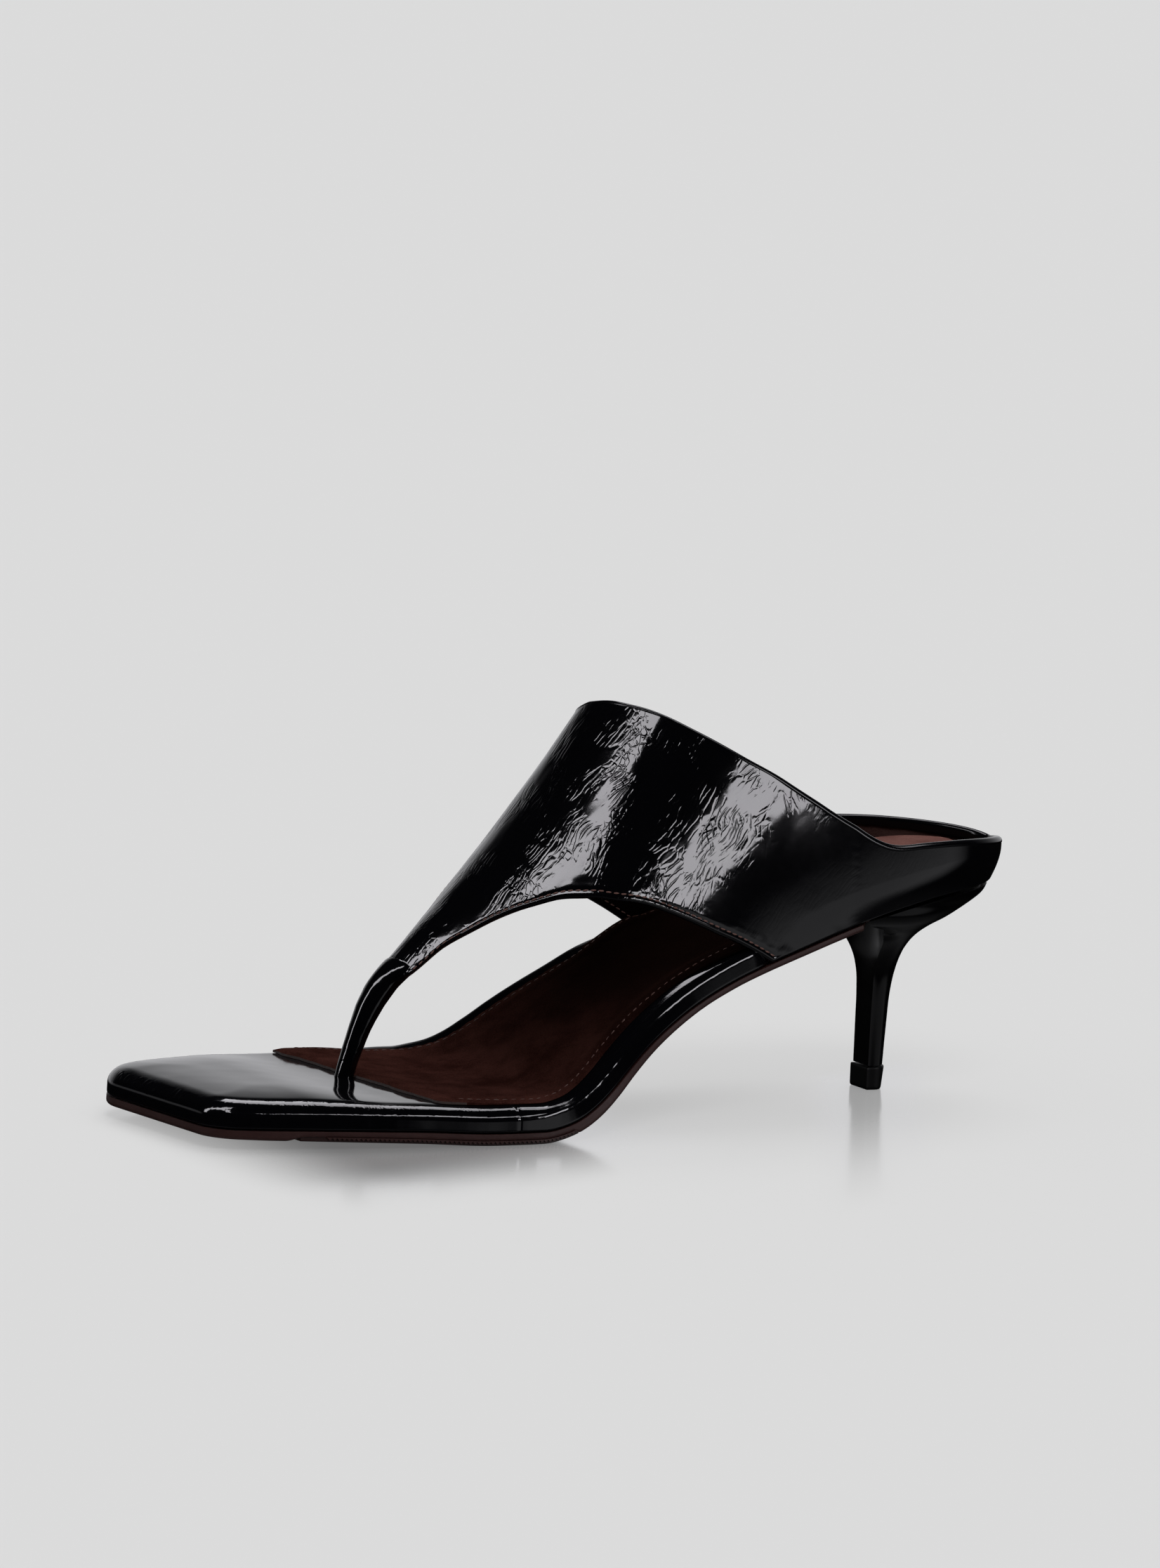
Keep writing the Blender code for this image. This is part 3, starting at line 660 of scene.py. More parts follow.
def collar_points(side, first, last):
    """Close run of places along the collar between two of the table's rows, over the ridge and on."""
    other = "medial" if side == "lateral" else "lateral"
    stations, angles = COLLAR[side], COLLAR["angle"]
    stations = (COLLAR[other][1],) + stations + (stations[-1],)
    angles = (180.0 - angles[1],) + angles + (angles[-1],)
    points = []
    for t in steps(first, last, CLOSE_RUN):
        row = min(int(t), len(stations) - 4)
        share = t - row

        def blend(values):
            a, b, c, d = values[row:row + 4]
            return 0.5 * (
                2.0 * b
                + (c - a) * share
                + (2.0 * a - 5.0 * b + 4.0 * c - d) * share**2
                + (3.0 * b - a - 3.0 * c + d) * share**3
            )

        points.append((blend(stations), blend(angles), side))
    return points


def cutout_points(side):
    table = CUTOUT[side]
    stations = steps(table["station"][0], table["station"][-1], CLOSE_RUN)
    return [(s, smooth(table, "station", "angle", s), side) for s in stations]


def upper_ribs(side, tongue, cutout, quarter):
    """Pairs of collar place and lower-edge place, from the ridge back to the middle of the heel."""
    corner = CUTOUT[side]["station"][-1]
    last = len(COLLAR["angle"]) - 1.0
    stretches = (
        (0.0, COLLAR_MATCH["tongue"], tongue, "tongue"),
        (COLLAR_MATCH["tongue"], COLLAR_MATCH["cutout"], cutout, "cutout"),
        (COLLAR_MATCH["cutout"], last, quarter, "feather"),
    )
    lower_points = {
        "tongue": [(TONGUE_BACK, angle, side) for angle in steps(90.0, CUTOUT[side]["angle"][0], 20)],
        "cutout": cutout_points(side),
        "feather": [(s, 0.0, side) for s in steps(corner, HEEL_END, CLOSE_RUN)],
    }
    ribs = []
    for first, end, count, kind in stretches:
        collar = edge_line(collar_points(side, first, end), count)
        lower = edge_line(lower_points[kind], count)
        pairs = [(top, low, side, kind) for top, low in zip(collar, lower)]
        ribs += pairs[1:] if ribs else pairs
    return ribs


def closed_ring(tongue, cutout, quarter):
    lateral = upper_ribs("lateral", tongue, cutout, quarter)
    medial = upper_ribs("medial", tongue, cutout, quarter)
    return lateral + medial[-2:0:-1]


def on_rib(rib, share):
    """A place on a rib: share 0 is the collar and 1 the lower edge."""
    top, low, side, _ = rib
    return on_last(top[0] + share * (low[0] - top[0]), top[1] + share * (low[1] - top[1]), side)


def rib_length(rib):
    """Length of a rib in mm."""
    places = [on_rib(rib, share) for share in steps(0.0, 1.0, 12)]
    return sum((b - a).length for a, b in zip(places, places[1:])) / MM


def lay_on_ribs(ring, shares):
    """A closed band of faces along the ribs. Gives the bmesh and, for each vertex, its rib and share."""
    bm = bmesh.new()
    bmesh.ops.create_grid(bm, x_segments=len(ring), y_segments=len(shares) - 1, size=0.5)
    rib_at = bm.verts.layers.int.new("rib")
    share_at = bm.verts.layers.float.new("share")
    for vert in bm.verts:
        column = round((vert.co.x + 0.5) * len(ring)) % len(ring)
        row = round((0.5 - vert.co.y) * (len(shares) - 1))
        vert[rib_at] = column
        vert[share_at] = shares[row]
        vert.co = on_rib(ring[column], shares[row])
    bmesh.ops.remove_doubles(bm, verts=bm.verts, dist=1e-6)
    bmesh.ops.recalc_face_normals(bm, faces=bm.faces)
    bm.normal_update()
    return bm


ring = closed_ring(10, 110, 72)
lengths = [rib_length(rib) for rib in ring]
print("upper:", len(ring), "ribs,", round(min(lengths), 1), "to", round(max(lengths), 1), "mm long")

# %% [markdown]
# The dents come from three sizes of noise. The broad ones bend the reflections, the middle ones are
# stretched along the creases, and short puckers stand square to the stitch line, where the thread
# pulls the leather in. Along the waist the leather was pulled under the board, so it shows a few soft
# folds there.

# %% Outer leather
BINDING_TOP = 0.7         # the leather stops this far under the top of the binding
SKIN = 0.85               # thickness of the patent leather
EDGE_ROUND = 0.8
STITCH_INSET = 1.75       # of the stitch row from the edge of a cut-out
CRINKLE_LEAN, CRINKLE_FADE = 1.75, (30.0, 54.0)
ROWS = 92


def crowded(t):
    """Rows lie closer near the two edges."""
    return t - 0.055 * math.sin(2.0 * math.pi * t)


def rounded_edge(distance, radius):
    """How far a surface falls back within radius of its turned edge."""
    short = max(radius - distance, 0.0)
    return radius - math.sqrt(max(radius * radius - short * short, 0.0))


def crinkle_amount(place):
    """Crinkled over the vamp, and smooth behind a line that leans from the collar to the waist."""
    behind = back_of(place) - CRINKLE_LEAN * place.z / MM
    return 1.0 - 0.96 * ease(behind, *CRINKLE_FADE)


def dents(rib, place, from_low):
    """How far the leather stands out at a place, in mm."""
    amount = crinkle_amount(place)
    broad = 0.10 * wave(place, 22.0) + 0.07 * wave(place, 11.0, 3.0)
    lean = Matrix.Rotation(CREASE_LEAN, 3, "X")
    along = lean.inverted() @ place
    stretched = Vector((along.x, along.y, along.z / 3.0))
    middle = 0.05 * wave(stretched, 3.4, 7.0) + 0.03 * wave(stretched, 1.9, 11.0)
    out = broad * (0.35 + 0.65 * amount) + middle * amount
    if rib[3] == "cutout":
        pucker = math.exp(-((from_low - STITCH_INSET - 1.2) / 1.6) ** 2)
        out += 0.05 * wave(place, 1.5, 5.0) * pucker
        out -= 0.16 * math.exp(-((from_low - STITCH_INSET) / 0.5) ** 2)
        out -= rounded_edge(from_low * 0.62, EDGE_ROUND)
    elif rib[3] == "tongue":
        out -= rounded_edge(from_low, 0.3)
    else:
        out -= rounded_edge(from_low, 1.1)
        waist = 1.0 - ease(back_of(place), 172.0, 190.0)
        folds = Vector((place.x, place.y * 0.55 + place.z, 0.0))
        out += 0.16 * wave(folds, 3.6, 2.0) * waist * math.exp(-(from_low / 7.0) ** 2)
    return out


def make_outer():
    spread = [crowded(t) for t in steps(0.0, 1.0, ROWS)]
    bm = lay_on_ribs(ring, spread)
    rib_at, share_at = bm.verts.layers.int["rib"], bm.verts.layers.float["share"]
    crinkle = bm.verts.layers.float.new("crinkle")

    def dented(vert):
        rib, length = ring[vert[rib_at]], lengths[vert[rib_at]]
        start = BINDING_TOP / length
        share = start + (1.0 - start) * vert[share_at]
        place = on_rib(rib, share)
        vert[crinkle] = crinkle_amount(place)
        return place + vert.normal * dents(rib, place, (1.0 - share) * length) * MM

    move_all(bm, dented)
    add_wall(make_piece("vamp_and_quarters", bm, [patent], ["upper"], 60.0), SKIN)


make_outer()

# %% [markdown]
# ## The lining
#
# A thin brown suede lines the upper. It shows through the cut-outs on the far side and round the
# inside of the heel. It is the same band of ribs at a wider step, moved in by the leather's thickness
# and given its own.

# %% Lining
LINING, LINING_GAP = 0.6, 0.05
LINING_SHORT = {"collar": 1.3, "low": 0.35}


def make_lining():
    coarse = closed_ring(5, 56, 40)
    long_by = [rib_length(rib) for rib in coarse]
    bm = lay_on_ribs(coarse, steps(0.0, 1.0, 30))
    rib_at, share_at = bm.verts.layers.int["rib"], bm.verts.layers.float["share"]

    def lined(vert):
        rib, length = coarse[vert[rib_at]], long_by[vert[rib_at]]
        first, last = LINING_SHORT["collar"] / length, 1.0 - LINING_SHORT["low"] / length
        place = on_rib(rib, first + (last - first) * vert[share_at])
        inwards = SKIN + LINING_GAP + 0.06 * wave(place, 6.0, 4.0)
        return place - vert.normal * inwards * MM

    move_all(bm, lined)
    add_wall(make_piece("lining", bm, [lining_suede], (), 60.0), LINING)


make_lining()

# %% [markdown]
# ## The collar binding
#
# A narrow strip of smooth patent leather is rolled over the top edge, so that leather and lining are
# shut in. Its section is a small arch. The arch is carried along the collar, square to the leather at
# each rib, and the band of faces closes on itself.

# %% Binding
BINDING_OUT = 0.12        # stands proud of the leather
BINDING_DEPTH = {"outside": 0.9, "inside": 1.9}


def binding_section():
    """The arch as distance out of the leather's face and height above its top, from outside to inside."""
    outer_x, inner_x = BINDING_OUT, -UPPER_WALL - BINDING_OUT
    middle, radius = (outer_x + inner_x) / 2.0, (outer_x - inner_x) / 2.0
    arch = []
    for angle in steps(0.0, 180.0, 14):
        turn = math.radians(angle)
        arch.append((middle + radius * math.cos(turn), radius * (math.sin(turn) - 1.0)))
    outer_foot, inner_foot = -BINDING_DEPTH["outside"], -BINDING_DEPTH["inside"]
    outside = [(-0.02, outer_foot - 0.35), (outer_x * 0.75, outer_foot - 0.15)]
    inside = [(inner_x + 0.1, inner_foot - 0.15), (-UPPER_WALL + 0.05, inner_foot - 0.35)]
    shut = [(-UPPER_WALL + 0.35, inner_foot), (-0.35, outer_foot)]
    return outside + arch + inside + shut


def collar_frame(ring, column):
    """Top of a rib, the way up along the leather, and the way out of it."""
    rib = ring[column]
    top, below = on_rib(rib, 0.0), on_rib(rib, 0.02)
    ahead = on_rib(ring[(column + 1) % len(ring)], 0.0)
    behind = on_rib(ring[column - 1], 0.0)
    up = (top - below).normalized()
    out = (ahead - behind).cross(up).normalized()
    return top, up, out


def make_binding():
    section = binding_section()
    frames = [collar_frame(ring, column) for column in range(len(ring))]
    flip = 1.0 if frames[len(ring) // 4][2].x > 0.0 else -1.0

    def lay(column, row):
        out_by, up_by = section[row % len(section)]
        top, up, out = frames[column]
        swell = 1.0 + 0.07 * wave(top, 5.0, 9.0)
        swell += 0.32 * ease(back_of(top), 150.0, 190.0)
        return top + (out * flip * out_by * swell + up * up_by * swell) * MM

    bm = skin(len(ring), len(section) + 1, lay)
    make_piece("collar_binding", bm, [smooth_patent], (), 70.0)


make_binding()

# %% [markdown]
# ## Plates that follow the sole
#
# Footbed, sock and outsole are flat plates that were cut to the same outline and then bent along the
# sole. The loop is filled, extruded, its rims are bevelled, and then planes cut it into narrow strips,
# so that it can bend and take a relief. Each vertex is laid on the sole last.

# %% Outline of the footbed and a bent plate
FLAT = 10.0               # thickness of a plate before it is bent; its own comes as it is laid


def edge_stations(end=HEEL_END):
    radius = max(TOE_CORNER.values())
    corner = [TOE_LINE + radius * (1.0 - math.cos(math.radians(a))) for a in steps(0.0, 84.0, 12)]
    along = steps(19.0, HEEL_START, 66)
    round_heel = [*TUCK_STATIONS] + steps(HEEL_START, HEEL_END, 20)[2:]
    return [s for s in corner + along + round_heel if s < end - 1.0] + [end]


def outline(inset, end=HEEL_END, start=None):
    """Closed loop of x, back round the footbed, moved inwards by inset(station, side)."""
    loop = []
    for side in ("lateral", "medial"):
        stations = edge_stations(end)
        if start:
            stations = [start[side]] + [s for s in stations if s > start[side] + 1.0]
        edge = [footprint(s, side) for s in stations]
        moved = []
        for i, (x, back) in enumerate(edge):
            before, after = edge[max(i - 1, 0)], edge[min(i + 1, len(edge) - 1)]
            if i == 0 and not start:
                before = (0.0, TOE_LINE)
            if i == len(edge) - 1 and end == HEEL_END:
                after = (-before[0], before[1])
            along = Vector((after[0] - before[0], after[1] - before[1])).normalized()
            inward = Vector((-along.y, along.x)) * (1.0 if side == "lateral" else -1.0)
            shift = inset(stations[i], side)
            moved.append((x + inward.x * shift, back + inward.y * shift))
        loop.append(moved)
    lateral, medial = loop
    if end == HEEL_END:
        medial = medial[:-1]
    return lateral + medial[::-1]


def bent_plate(loop, bottom, top, rounds=(0.0, 0.0), backs=(), across=(), relief=None):
    """A flat plate cut to a loop, its rims rounded, cut into strips and laid along the sole.
    rounds are the radii of the upper and lower rim. relief(x, back, upper) lifts a face, in mm."""
    bm = bmesh.new()
    face = bm.faces.new([bm.verts.new((x * MM, back * MM, 0.0)) for x, back in loop])
    grown = bmesh.ops.extrude_face_region(bm, geom=[face])
    upper = [v for v in grown["geom"] if isinstance(v, bmesh.types.BMVert)]
    bmesh.ops.translate(bm, verts=upper, vec=(0.0, 0.0, FLAT * MM))
    bmesh.ops.recalc_face_normals(bm, faces=bm.faces)
    rims = ((FLAT, -1.0, rounds[0]), (0.0, 1.0, rounds[1]))
    for level, _, radius in rims:
        if radius:
            rim = [e for e in bm.edges if all(abs(v.co.z - level * MM) < 1e-6 for v in e.verts)]
            bmesh.ops.bevel(
                bm, geom=rim, offset=radius * MM, affect="EDGES", segments=10, profile=0.5, material=-1
            )
    beside = [level + way * radius + way * 0.3 for level, way, radius in rims if radius]
    cuts = [((0.0, 0.0, level * MM), (0.0, 0.0, 1.0)) for level in beside]
    cuts += [((0.0, b * MM, 0.0), (0.0, 1.0, 0.0)) for b in backs]
    cuts += [((x * MM, 0.0, 0.0), (1.0, 0.0, 0.0)) for x in across]
    for point, normal in cuts:
        everything = bm.verts[:] + bm.edges[:] + bm.faces[:]
        bmesh.ops.bisect_plane(bm, geom=everything, dist=1e-6, plane_co=point, plane_no=normal)
    for vert in bm.verts:
        x, back, height = (c / MM for c in vert.co)
        is_upper = height > FLAT / 2.0
        height = top(back) - (FLAT - height) if is_upper else bottom(back) + height
        if relief:
            height += relief(x, back, is_upper)
        vert.co = on_sole(x, back, height)
    bm.normal_update()
    return bm


def distance_inside(loop):
    """A function that tells how far inside a loop a place is, in mm."""
    places = []
    for point, after in zip(loop, loop[1:] + loop[:1]):
        start, way = Vector((*point, 0.0)), Vector((after[0] - point[0], after[1] - point[1], 0.0))
        count = math.ceil(way.length / 0.3)
        places += [start + way * (k / count) for k in range(count)]
    tree = kdtree.KDTree(len(places))
    for index, place in enumerate(places):
        tree.insert(place, index)
    tree.balance()
    return lambda x, back: tree.find((x, back, 0.0))[2]


def push(bm, out):
    """Move every vertex along its normal by out(place), in mm."""
    move_all(bm, lambda vert: vert.co + vert.normal * out(vert.co) * MM)


ball_cuts = steps(4.0, 74.0, 64) + steps(75.0, 132.0, 44)
back_cuts = steps(135.0, 232.0, 30)
print("outline of", len(outline(lambda station, side: 0.0)), "points")

# %% [markdown]
# ## The footbed
#
# The board is wrapped in patent leather. Its top edge is round and catches a long bright line, the
# cover has faint dents, and on the outer side, behind the ball, two ends of the cover meet in an
# upright join.

# %% Footbed cover
JOIN_BACK = 84.5          # the upright join on the outer side
JOIN_WIDTH = 0.35
PADDING = 0.85            # the board's middle is padded by this much
PADDING_SLOPE = 4.6       # and slopes down to its rim over this width
TOE_DOME = {"height": 1.5, "width": 19.0, "fade": (34.0, 57.0)}
CURL = {"height": 1.4, "width": 6.5, "start": (66.0, 88.0), "end": (136.0, 150.0)}
WELT = {"depth": 0.62, "inset": 0.62, "width": 0.28}
WAIST_ROUND = 1.5         # the rim is sharper along the waist


def board_inset(station, side):
    corner = CUTOUT[side]["station"][-1]
    return (UPPER_WALL + GAP) * ease(station, corner - WALL_LEAD[0], corner - WALL_LEAD[1])


def toe_dome(inside, back):
    """The toe's top is a low dome that is steepest at the rim."""
    short = max(1.0 - inside / TOE_DOME["width"], 0.0)
    return TOE_DOME["height"] * (1.0 - short * short) * (1.0 - ease(back, *TOE_DOME["fade"]))


def curl_share(back):
    return ease(back, *CURL["start"]) * (1.0 - ease(back, *CURL["end"]))


def curl(inside, x, back):
    """On the inner side of the waist the cover's rim stands up beside the sock."""
    return CURL["height"] * curl_share(back) * (1.0 - ease(inside, 0.0, CURL["width"])) * ease(-x, 0.0, 8.0)


def cover_dents(place):
    back = back_of(place)
    out = 0.05 * wave(place, 14.0, 2.0) + 0.02 * wave(place, 5.0, 6.0)
    creased = Vector((place.x * 0.35, place.y, place.z))
    out += 0.02 * wave(creased, 1.6, 8.0) * (1.0 - ease(back, 50.0, 70.0)) * ease(place.x, 0.024, 0.031)
    if place.x > 0.036:
        join = math.exp(-((back - JOIN_BACK) / JOIN_WIDTH) ** 2)
        overlap = ease(back, JOIN_BACK - 4.0, JOIN_BACK) * (1.0 if back < JOIN_BACK else 0.0)
        out += 0.09 * overlap - 0.12 * join
    return out


def make_footbed():
    loop = outline(board_inset)
    inside = distance_inside(loop)

    def padding(x, back, upper):
        if not upper:
            return 0.0
        distance = inside(x, back)
        waist = ease(back, 84.0, 98.0)
        welt = math.exp(-((distance - WELT["inset"]) / WELT["width"]) ** 2)
        welt *= WELT["depth"] * (1.0 - 0.7 * waist) * ease(x, 24.0, 30.0)
        sharper = rounded_edge(distance, BOARD_ROUND) - rounded_edge(distance, WAIST_ROUND)
        padded = PADDING * ease(distance, 0.0, PADDING_SLOPE) + sharper * waist - welt
        return padded + toe_dome(distance, back) + curl(distance, x, back)

    join_cuts = steps(JOIN_BACK - 1.2, JOIN_BACK + 1.2, 12)
    bm = bent_plate(
        loop, lambda back: outsole_thickness(back) + GAP, board_top,
        (BOARD_ROUND, 0.6), ball_cuts + join_cuts + back_cuts, steps(-40.5, 40.5, 70), padding,
    )
    crinkle = bm.verts.layers.float.new("crinkle")
    for vert in bm.verts:
        tilt = math.hypot(vert.normal.x, vert.normal.y)
        vert[crinkle] = 0.6 * ease(tilt, 0.25, 0.5) * (1.0 - ease(back_of(vert.co), 60.0, 90.0))
        vert[crinkle] *= 1.0 - ease(tilt, 0.7, 0.97)
    push(bm, cover_dents)
    make_piece("footbed_cover", bm, [patent], ["footbed"], 60.0)


make_footbed()

# %% [markdown]
# ## The outsole and its tread
#
# The resin outsole is a plain plate with a softly rounded lower edge. Under the ball its face is a
# higher, and a darker patch of rubber fills the step. Ribs across the foot end at its edge in a row of
# small teeth.

# %% Outsole and tread patch
TREAD = (28.5, 101.5)
TREAD_HEIGHT = 1.05
TEETH = (36.0, 100.5)
TEETH_PITCH, TEETH_LENGTH = 1.12, 0.62


def tuck(station, side):
    return OUTSOLE_TUCK * ease(station, *TUCK_STATIONS)


def tread_recess(back):
    return TREAD_HEIGHT * ease(back, TREAD[0], TREAD[0] + 5.0) * ease(-back, -TREAD[1], -TREAD[1] + 2.0)


def make_outsole():
    step_cuts = [end + offset for end in TREAD for offset in (-0.5, -0.25, 0.0, 0.25, 0.5)]
    bm = bent_plate(
        outline(tuck, OUTSOLE_END), tread_recess, outsole_thickness,
        (0.0, OUTSOLE_ROUND), ball_cuts + step_cuts + [b for b in back_cuts if b < OUTSOLE_END],
    )
    push(bm, lambda place: 0.03 * wave(place, 9.0, 12.0))
    make_piece("outsole_resin", bm, [resin], ["outsole"])


def rim_loop(first, last, inset):
    stations = steps(first, last, 60)
    loop = [footprint(s, "lateral", inset) for s in stations]
    return loop + [footprint(s, "medial", inset) for s in reversed(stations)]


def make_teeth():
    """The teeth are the zigzag of a thin plate's lower face."""
    loop = rim_loop(*TEETH, 0.12)
    half = TEETH_PITCH / 2.0
    first, last = min(back for _, back in loop), max(back for _, back in loop)
    cuts = [first + half * i for i in range(1, int((last - first) / half))]

    def zigzag(back):
        phase = (back - first) / TEETH_PITCH % 1.0
        return TREAD_HEIGHT - TEETH_LENGTH * (1.0 - abs(2.0 * phase - 1.0))

    bm = bent_plate(loop, zigzag, lambda back: TREAD_HEIGHT + 0.15, (0.0, 0.0), cuts)
    make_piece("tread_teeth", bm, [resin])


def make_patch():
    loop = rim_loop(TREAD[0] + 0.8, TREAD[1] - 0.6, 0.55)
    bm = bent_plate(loop, lambda back: 0.0, lambda back: TREAD_HEIGHT + 0.12, (0.0, 0.25), ball_cuts)
    make_piece("tread_patch", bm, [patch_resin])


make_outsole()
make_teeth()
make_patch()

# %% [markdown]
# ## The sock
#
# The suede sock is glued on top. It was cut by hand at the front, so that edge wanders a little and
# shows the dark, rough thickness of the cut, and its outer corner is round. A row of stitches
# presses a channel into it near the edge, and inside the channel the suede dips over the padding.

# %% Sock
SOCK_STITCH_INSET = 2.3
CORNER_CUT = 2.6
CUT_UP_TO = 73.0          # edges before this place show the raw cut
HEEL_CUSHION = 3.3        # the seat is a soft cushion under the suede
HOLLOW = 0.9              # beside the curled rim the sock lies this much lower


def sock_inset(station, side):
    corner = CUTOUT[side]["station"][-1]
    inside = board_inset(station, side) + SOCK_CLEARANCE
    return SOCK_INSET + (inside - SOCK_INSET) * ease(station, corner - SOCK_WIDENS, corner)


def sock_loop():
    """The sock's outline, with its outer front corner rounded and its front edge cut by hand."""
    loop = [Vector(point) for point in outline(sock_inset, start=SOCK_FRONT)]
    corner, behind, far = loop[0], loop[6], loop[-1]
    along, across = (behind - corner).normalized(), (far - corner).normalized()
    first, last = corner + along * CORNER_CUT, corner + across * CORNER_CUT
    kept = [p for p in loop[1:] if (p - corner).length > CORNER_CUT + 0.6]
    arc = [
        last * (1.0 - t) ** 2 + corner * (2.0 * t * (1.0 - t)) + first * t * t for t in steps(0.0, 1.0, 8)
    ]
    length = (last - far).length
    front = []
    for t in steps(0.0, 1.0, round(length / 0.7))[1:-1]:
        point = far.lerp(last, t)
        spot = Vector((*point, 0.0)) * MM
        ragged = 0.60 * wave(spot, 5.0, 1.0) + 0.26 * wave(spot, 1.3)
        front.append(point + Vector((0.0, ragged)))
    return [tuple(point) for point in kept + front + arc]


def sock_top(back):
    return board_top(back) + GAP + SOCK_THICKNESS


def make_sock():
    """Makes the sock, and returns its relief for the stitches to follow."""
    loop = sock_loop()
    inside_of = distance_inside(loop)

    def relief(x, back, upper=True):
        """Padding below, and on top the channel, the dip and the soft lie of the suede."""
        padding = PADDING * 0.96
        if not upper:
            return padding
        inside = inside_of(x, back)
        place = Vector((x, back, 0.0)) * MM
        sewn = ease(back, 63.0, 72.0)
        channel = 0.24 * math.exp(-((inside - SOCK_STITCH_INSET) / 0.6) ** 2) * sewn
        dip = 0.36 * ease(inside, 4.0, 6.6) * sewn
        pressed = 0.7 * (1.0 - ease(inside, 0.0, 1.3))
        waves = 0.16 * wave(place, 26.0, 4.0) + 0.07 * wave(place, 9.0, 5.0)
        waves += 0.02 * wave(place, 2.5, 6.0)
        hollow = HOLLOW * curl_share(back) * (1.0 - 0.4 * ease(x, -12.0, 16.0))
        cushion = HEEL_CUSHION * ease(back, 150.0, 178.0) * ease(inside, 0.5, 9.0)
        return padding + waves + cushion - hollow - channel - dip - pressed

    bm = bent_plate(
        loop, lambda back: board_top(back) + GAP * 0.3, sock_top,
        (0.0, 0.0), steps(55.0, 135.0, 96) + steps(136.0, 231.0, 60), steps(-37.0, 37.0, 64), relief,
    )
    for face in bm.faces:
        if abs(face.normal.z) < 0.35 and face.calc_center_median().y < (CUT_UP_TO - REST_BACK) * MM:
            face.material_index = 1
    make_piece("sock_suede", bm, [suede, raw_edge], ["sock"], 50.0)
    return relief


sock_relief = make_sock()

# %% [markdown]
# ## The toe post
#
# A strip of the same leather is rolled into the post between the toes. The roll overlaps along a
# seam on the outer side, towards the back, where the covering edge stands a little proud. At the
# top the strip opens out and takes in the tip of the vamp.

# %% Toe post
POST_FOOT, POST_DEPTH = (-1.9, 59.7), 4.0
POST_LEAN, POST_HANDLES = math.radians(75.6), (30.4, 9.7)
POST_TOP_BACK, POST_REACH, POST_TOP_RADIUS = 76.0, 2.7, 3.2
POST_RINGS, POST_SIDES = 76, 48
SEAM_ANGLE = math.radians(-14.0)
POST_CRINKLE = 0.22
SLEEVE_END = 0.735        # share of the route where the roll ends over the tip of the vamp


def post_route():
    """Middle line of the post, from inside the footbed up under the tip of the vamp."""
    ridge = on_last(POST_TOP_BACK, 90.0, "lateral")
    along = (on_last(POST_TOP_BACK + 1.0, 90.0, "lateral") - ridge).normalized()
    inward = Vector((0.0, along.z, -along.y))
    top = ridge + (inward * POST_TOP_RADIUS + along * POST_REACH) * MM
    foot_x, foot_back = POST_FOOT
    up = Vector((0.0, math.cos(POST_LEAN), math.sin(POST_LEAN)))
    foot = on_sole(foot_x, foot_back, board_top(foot_back)) - up * POST_DEPTH * MM
    handles = foot + up * POST_HANDLES[0] * MM, top - along * POST_HANDLES[1] * MM
    return interpolate_bezier(foot, *handles, top, POST_RINGS)


def post_radius(share, angle, place):
    """Distances sideways and outwards of the post's skin from its middle line, in mm."""
    wide = 2.3 + 1.2 * ease(share, 0.05, 0.5) + 1.8 * ease(share, 0.5, SLEEVE_END)
    deep = 2.3 + 1.0 * ease(share, 0.05, 0.5) - 0.5 * ease(share, 0.5, SLEEVE_END)
    end = SLEEVE_END + 0.03 * math.cos(angle)
    under = 0.75 * ease(share, end, end + 0.012)
    turned = (angle - SEAM_ANGLE) % (2.0 * math.pi)
    lap = 0.34 * (1.0 - ease(turned, 0.0, math.radians(140.0)))
    lap -= 0.16 * math.exp(-((turned / 0.14) ** 2))
    lap *= 0.7 + 0.5 * math.exp(-((share - 0.5) / 0.1) ** 2)
    lap += 0.09 * wave(place, 3.6, 3.0) + 0.03 * wave(place, 1.3, 8.0)
    return wide + lap - under, deep + lap - under


def make_post():
    route = post_route()

    def lay(column, row):
        angle = 2.0 * math.pi * column / POST_SIDES
        along = (route[min(row + 1, POST_RINGS - 1)] - route[max(row - 1, 0)]).normalized()
        front = Vector((0.0, -along.z, along.y))
        around = Vector((math.cos(angle), 0.0, 0.0)) + front * math.sin(angle)
        wide, deep = post_radius(row / (POST_RINGS - 1), angle, route[row] + around * 2.6 * MM)
        outwards = Vector((math.cos(angle) * wide, 0.0, 0.0)) + front * math.sin(angle) * deep
        return route[row] + outwards * MM

    bm = skin(POST_SIDES, POST_RINGS, lay)
    crinkle = bm.verts.layers.float.new("crinkle")
    for vert in bm.verts:
        vert[crinkle] = POST_CRINKLE
    make_piece("toe_post_roll", bm, [patent], ["toe_post"], 60.0)


make_post()

# %% [markdown]
# ## The heel and its top lift
#
# The heel is moulded in one piece: a slim column with a flat breast, which opens into a cup under the
# seat. Level cuts through it are lofted close together. Then two copies of the sole's own plates are
# taken away from it: one leaves a pocket for the end of the outsole, the other gives the cup its rim.

# %% Heel and top lift
SIDE_STEPS, BREAST_STEPS = 34, 16
CUTTER_HEIGHT = 20.0      # a cutter stands this far above the sole


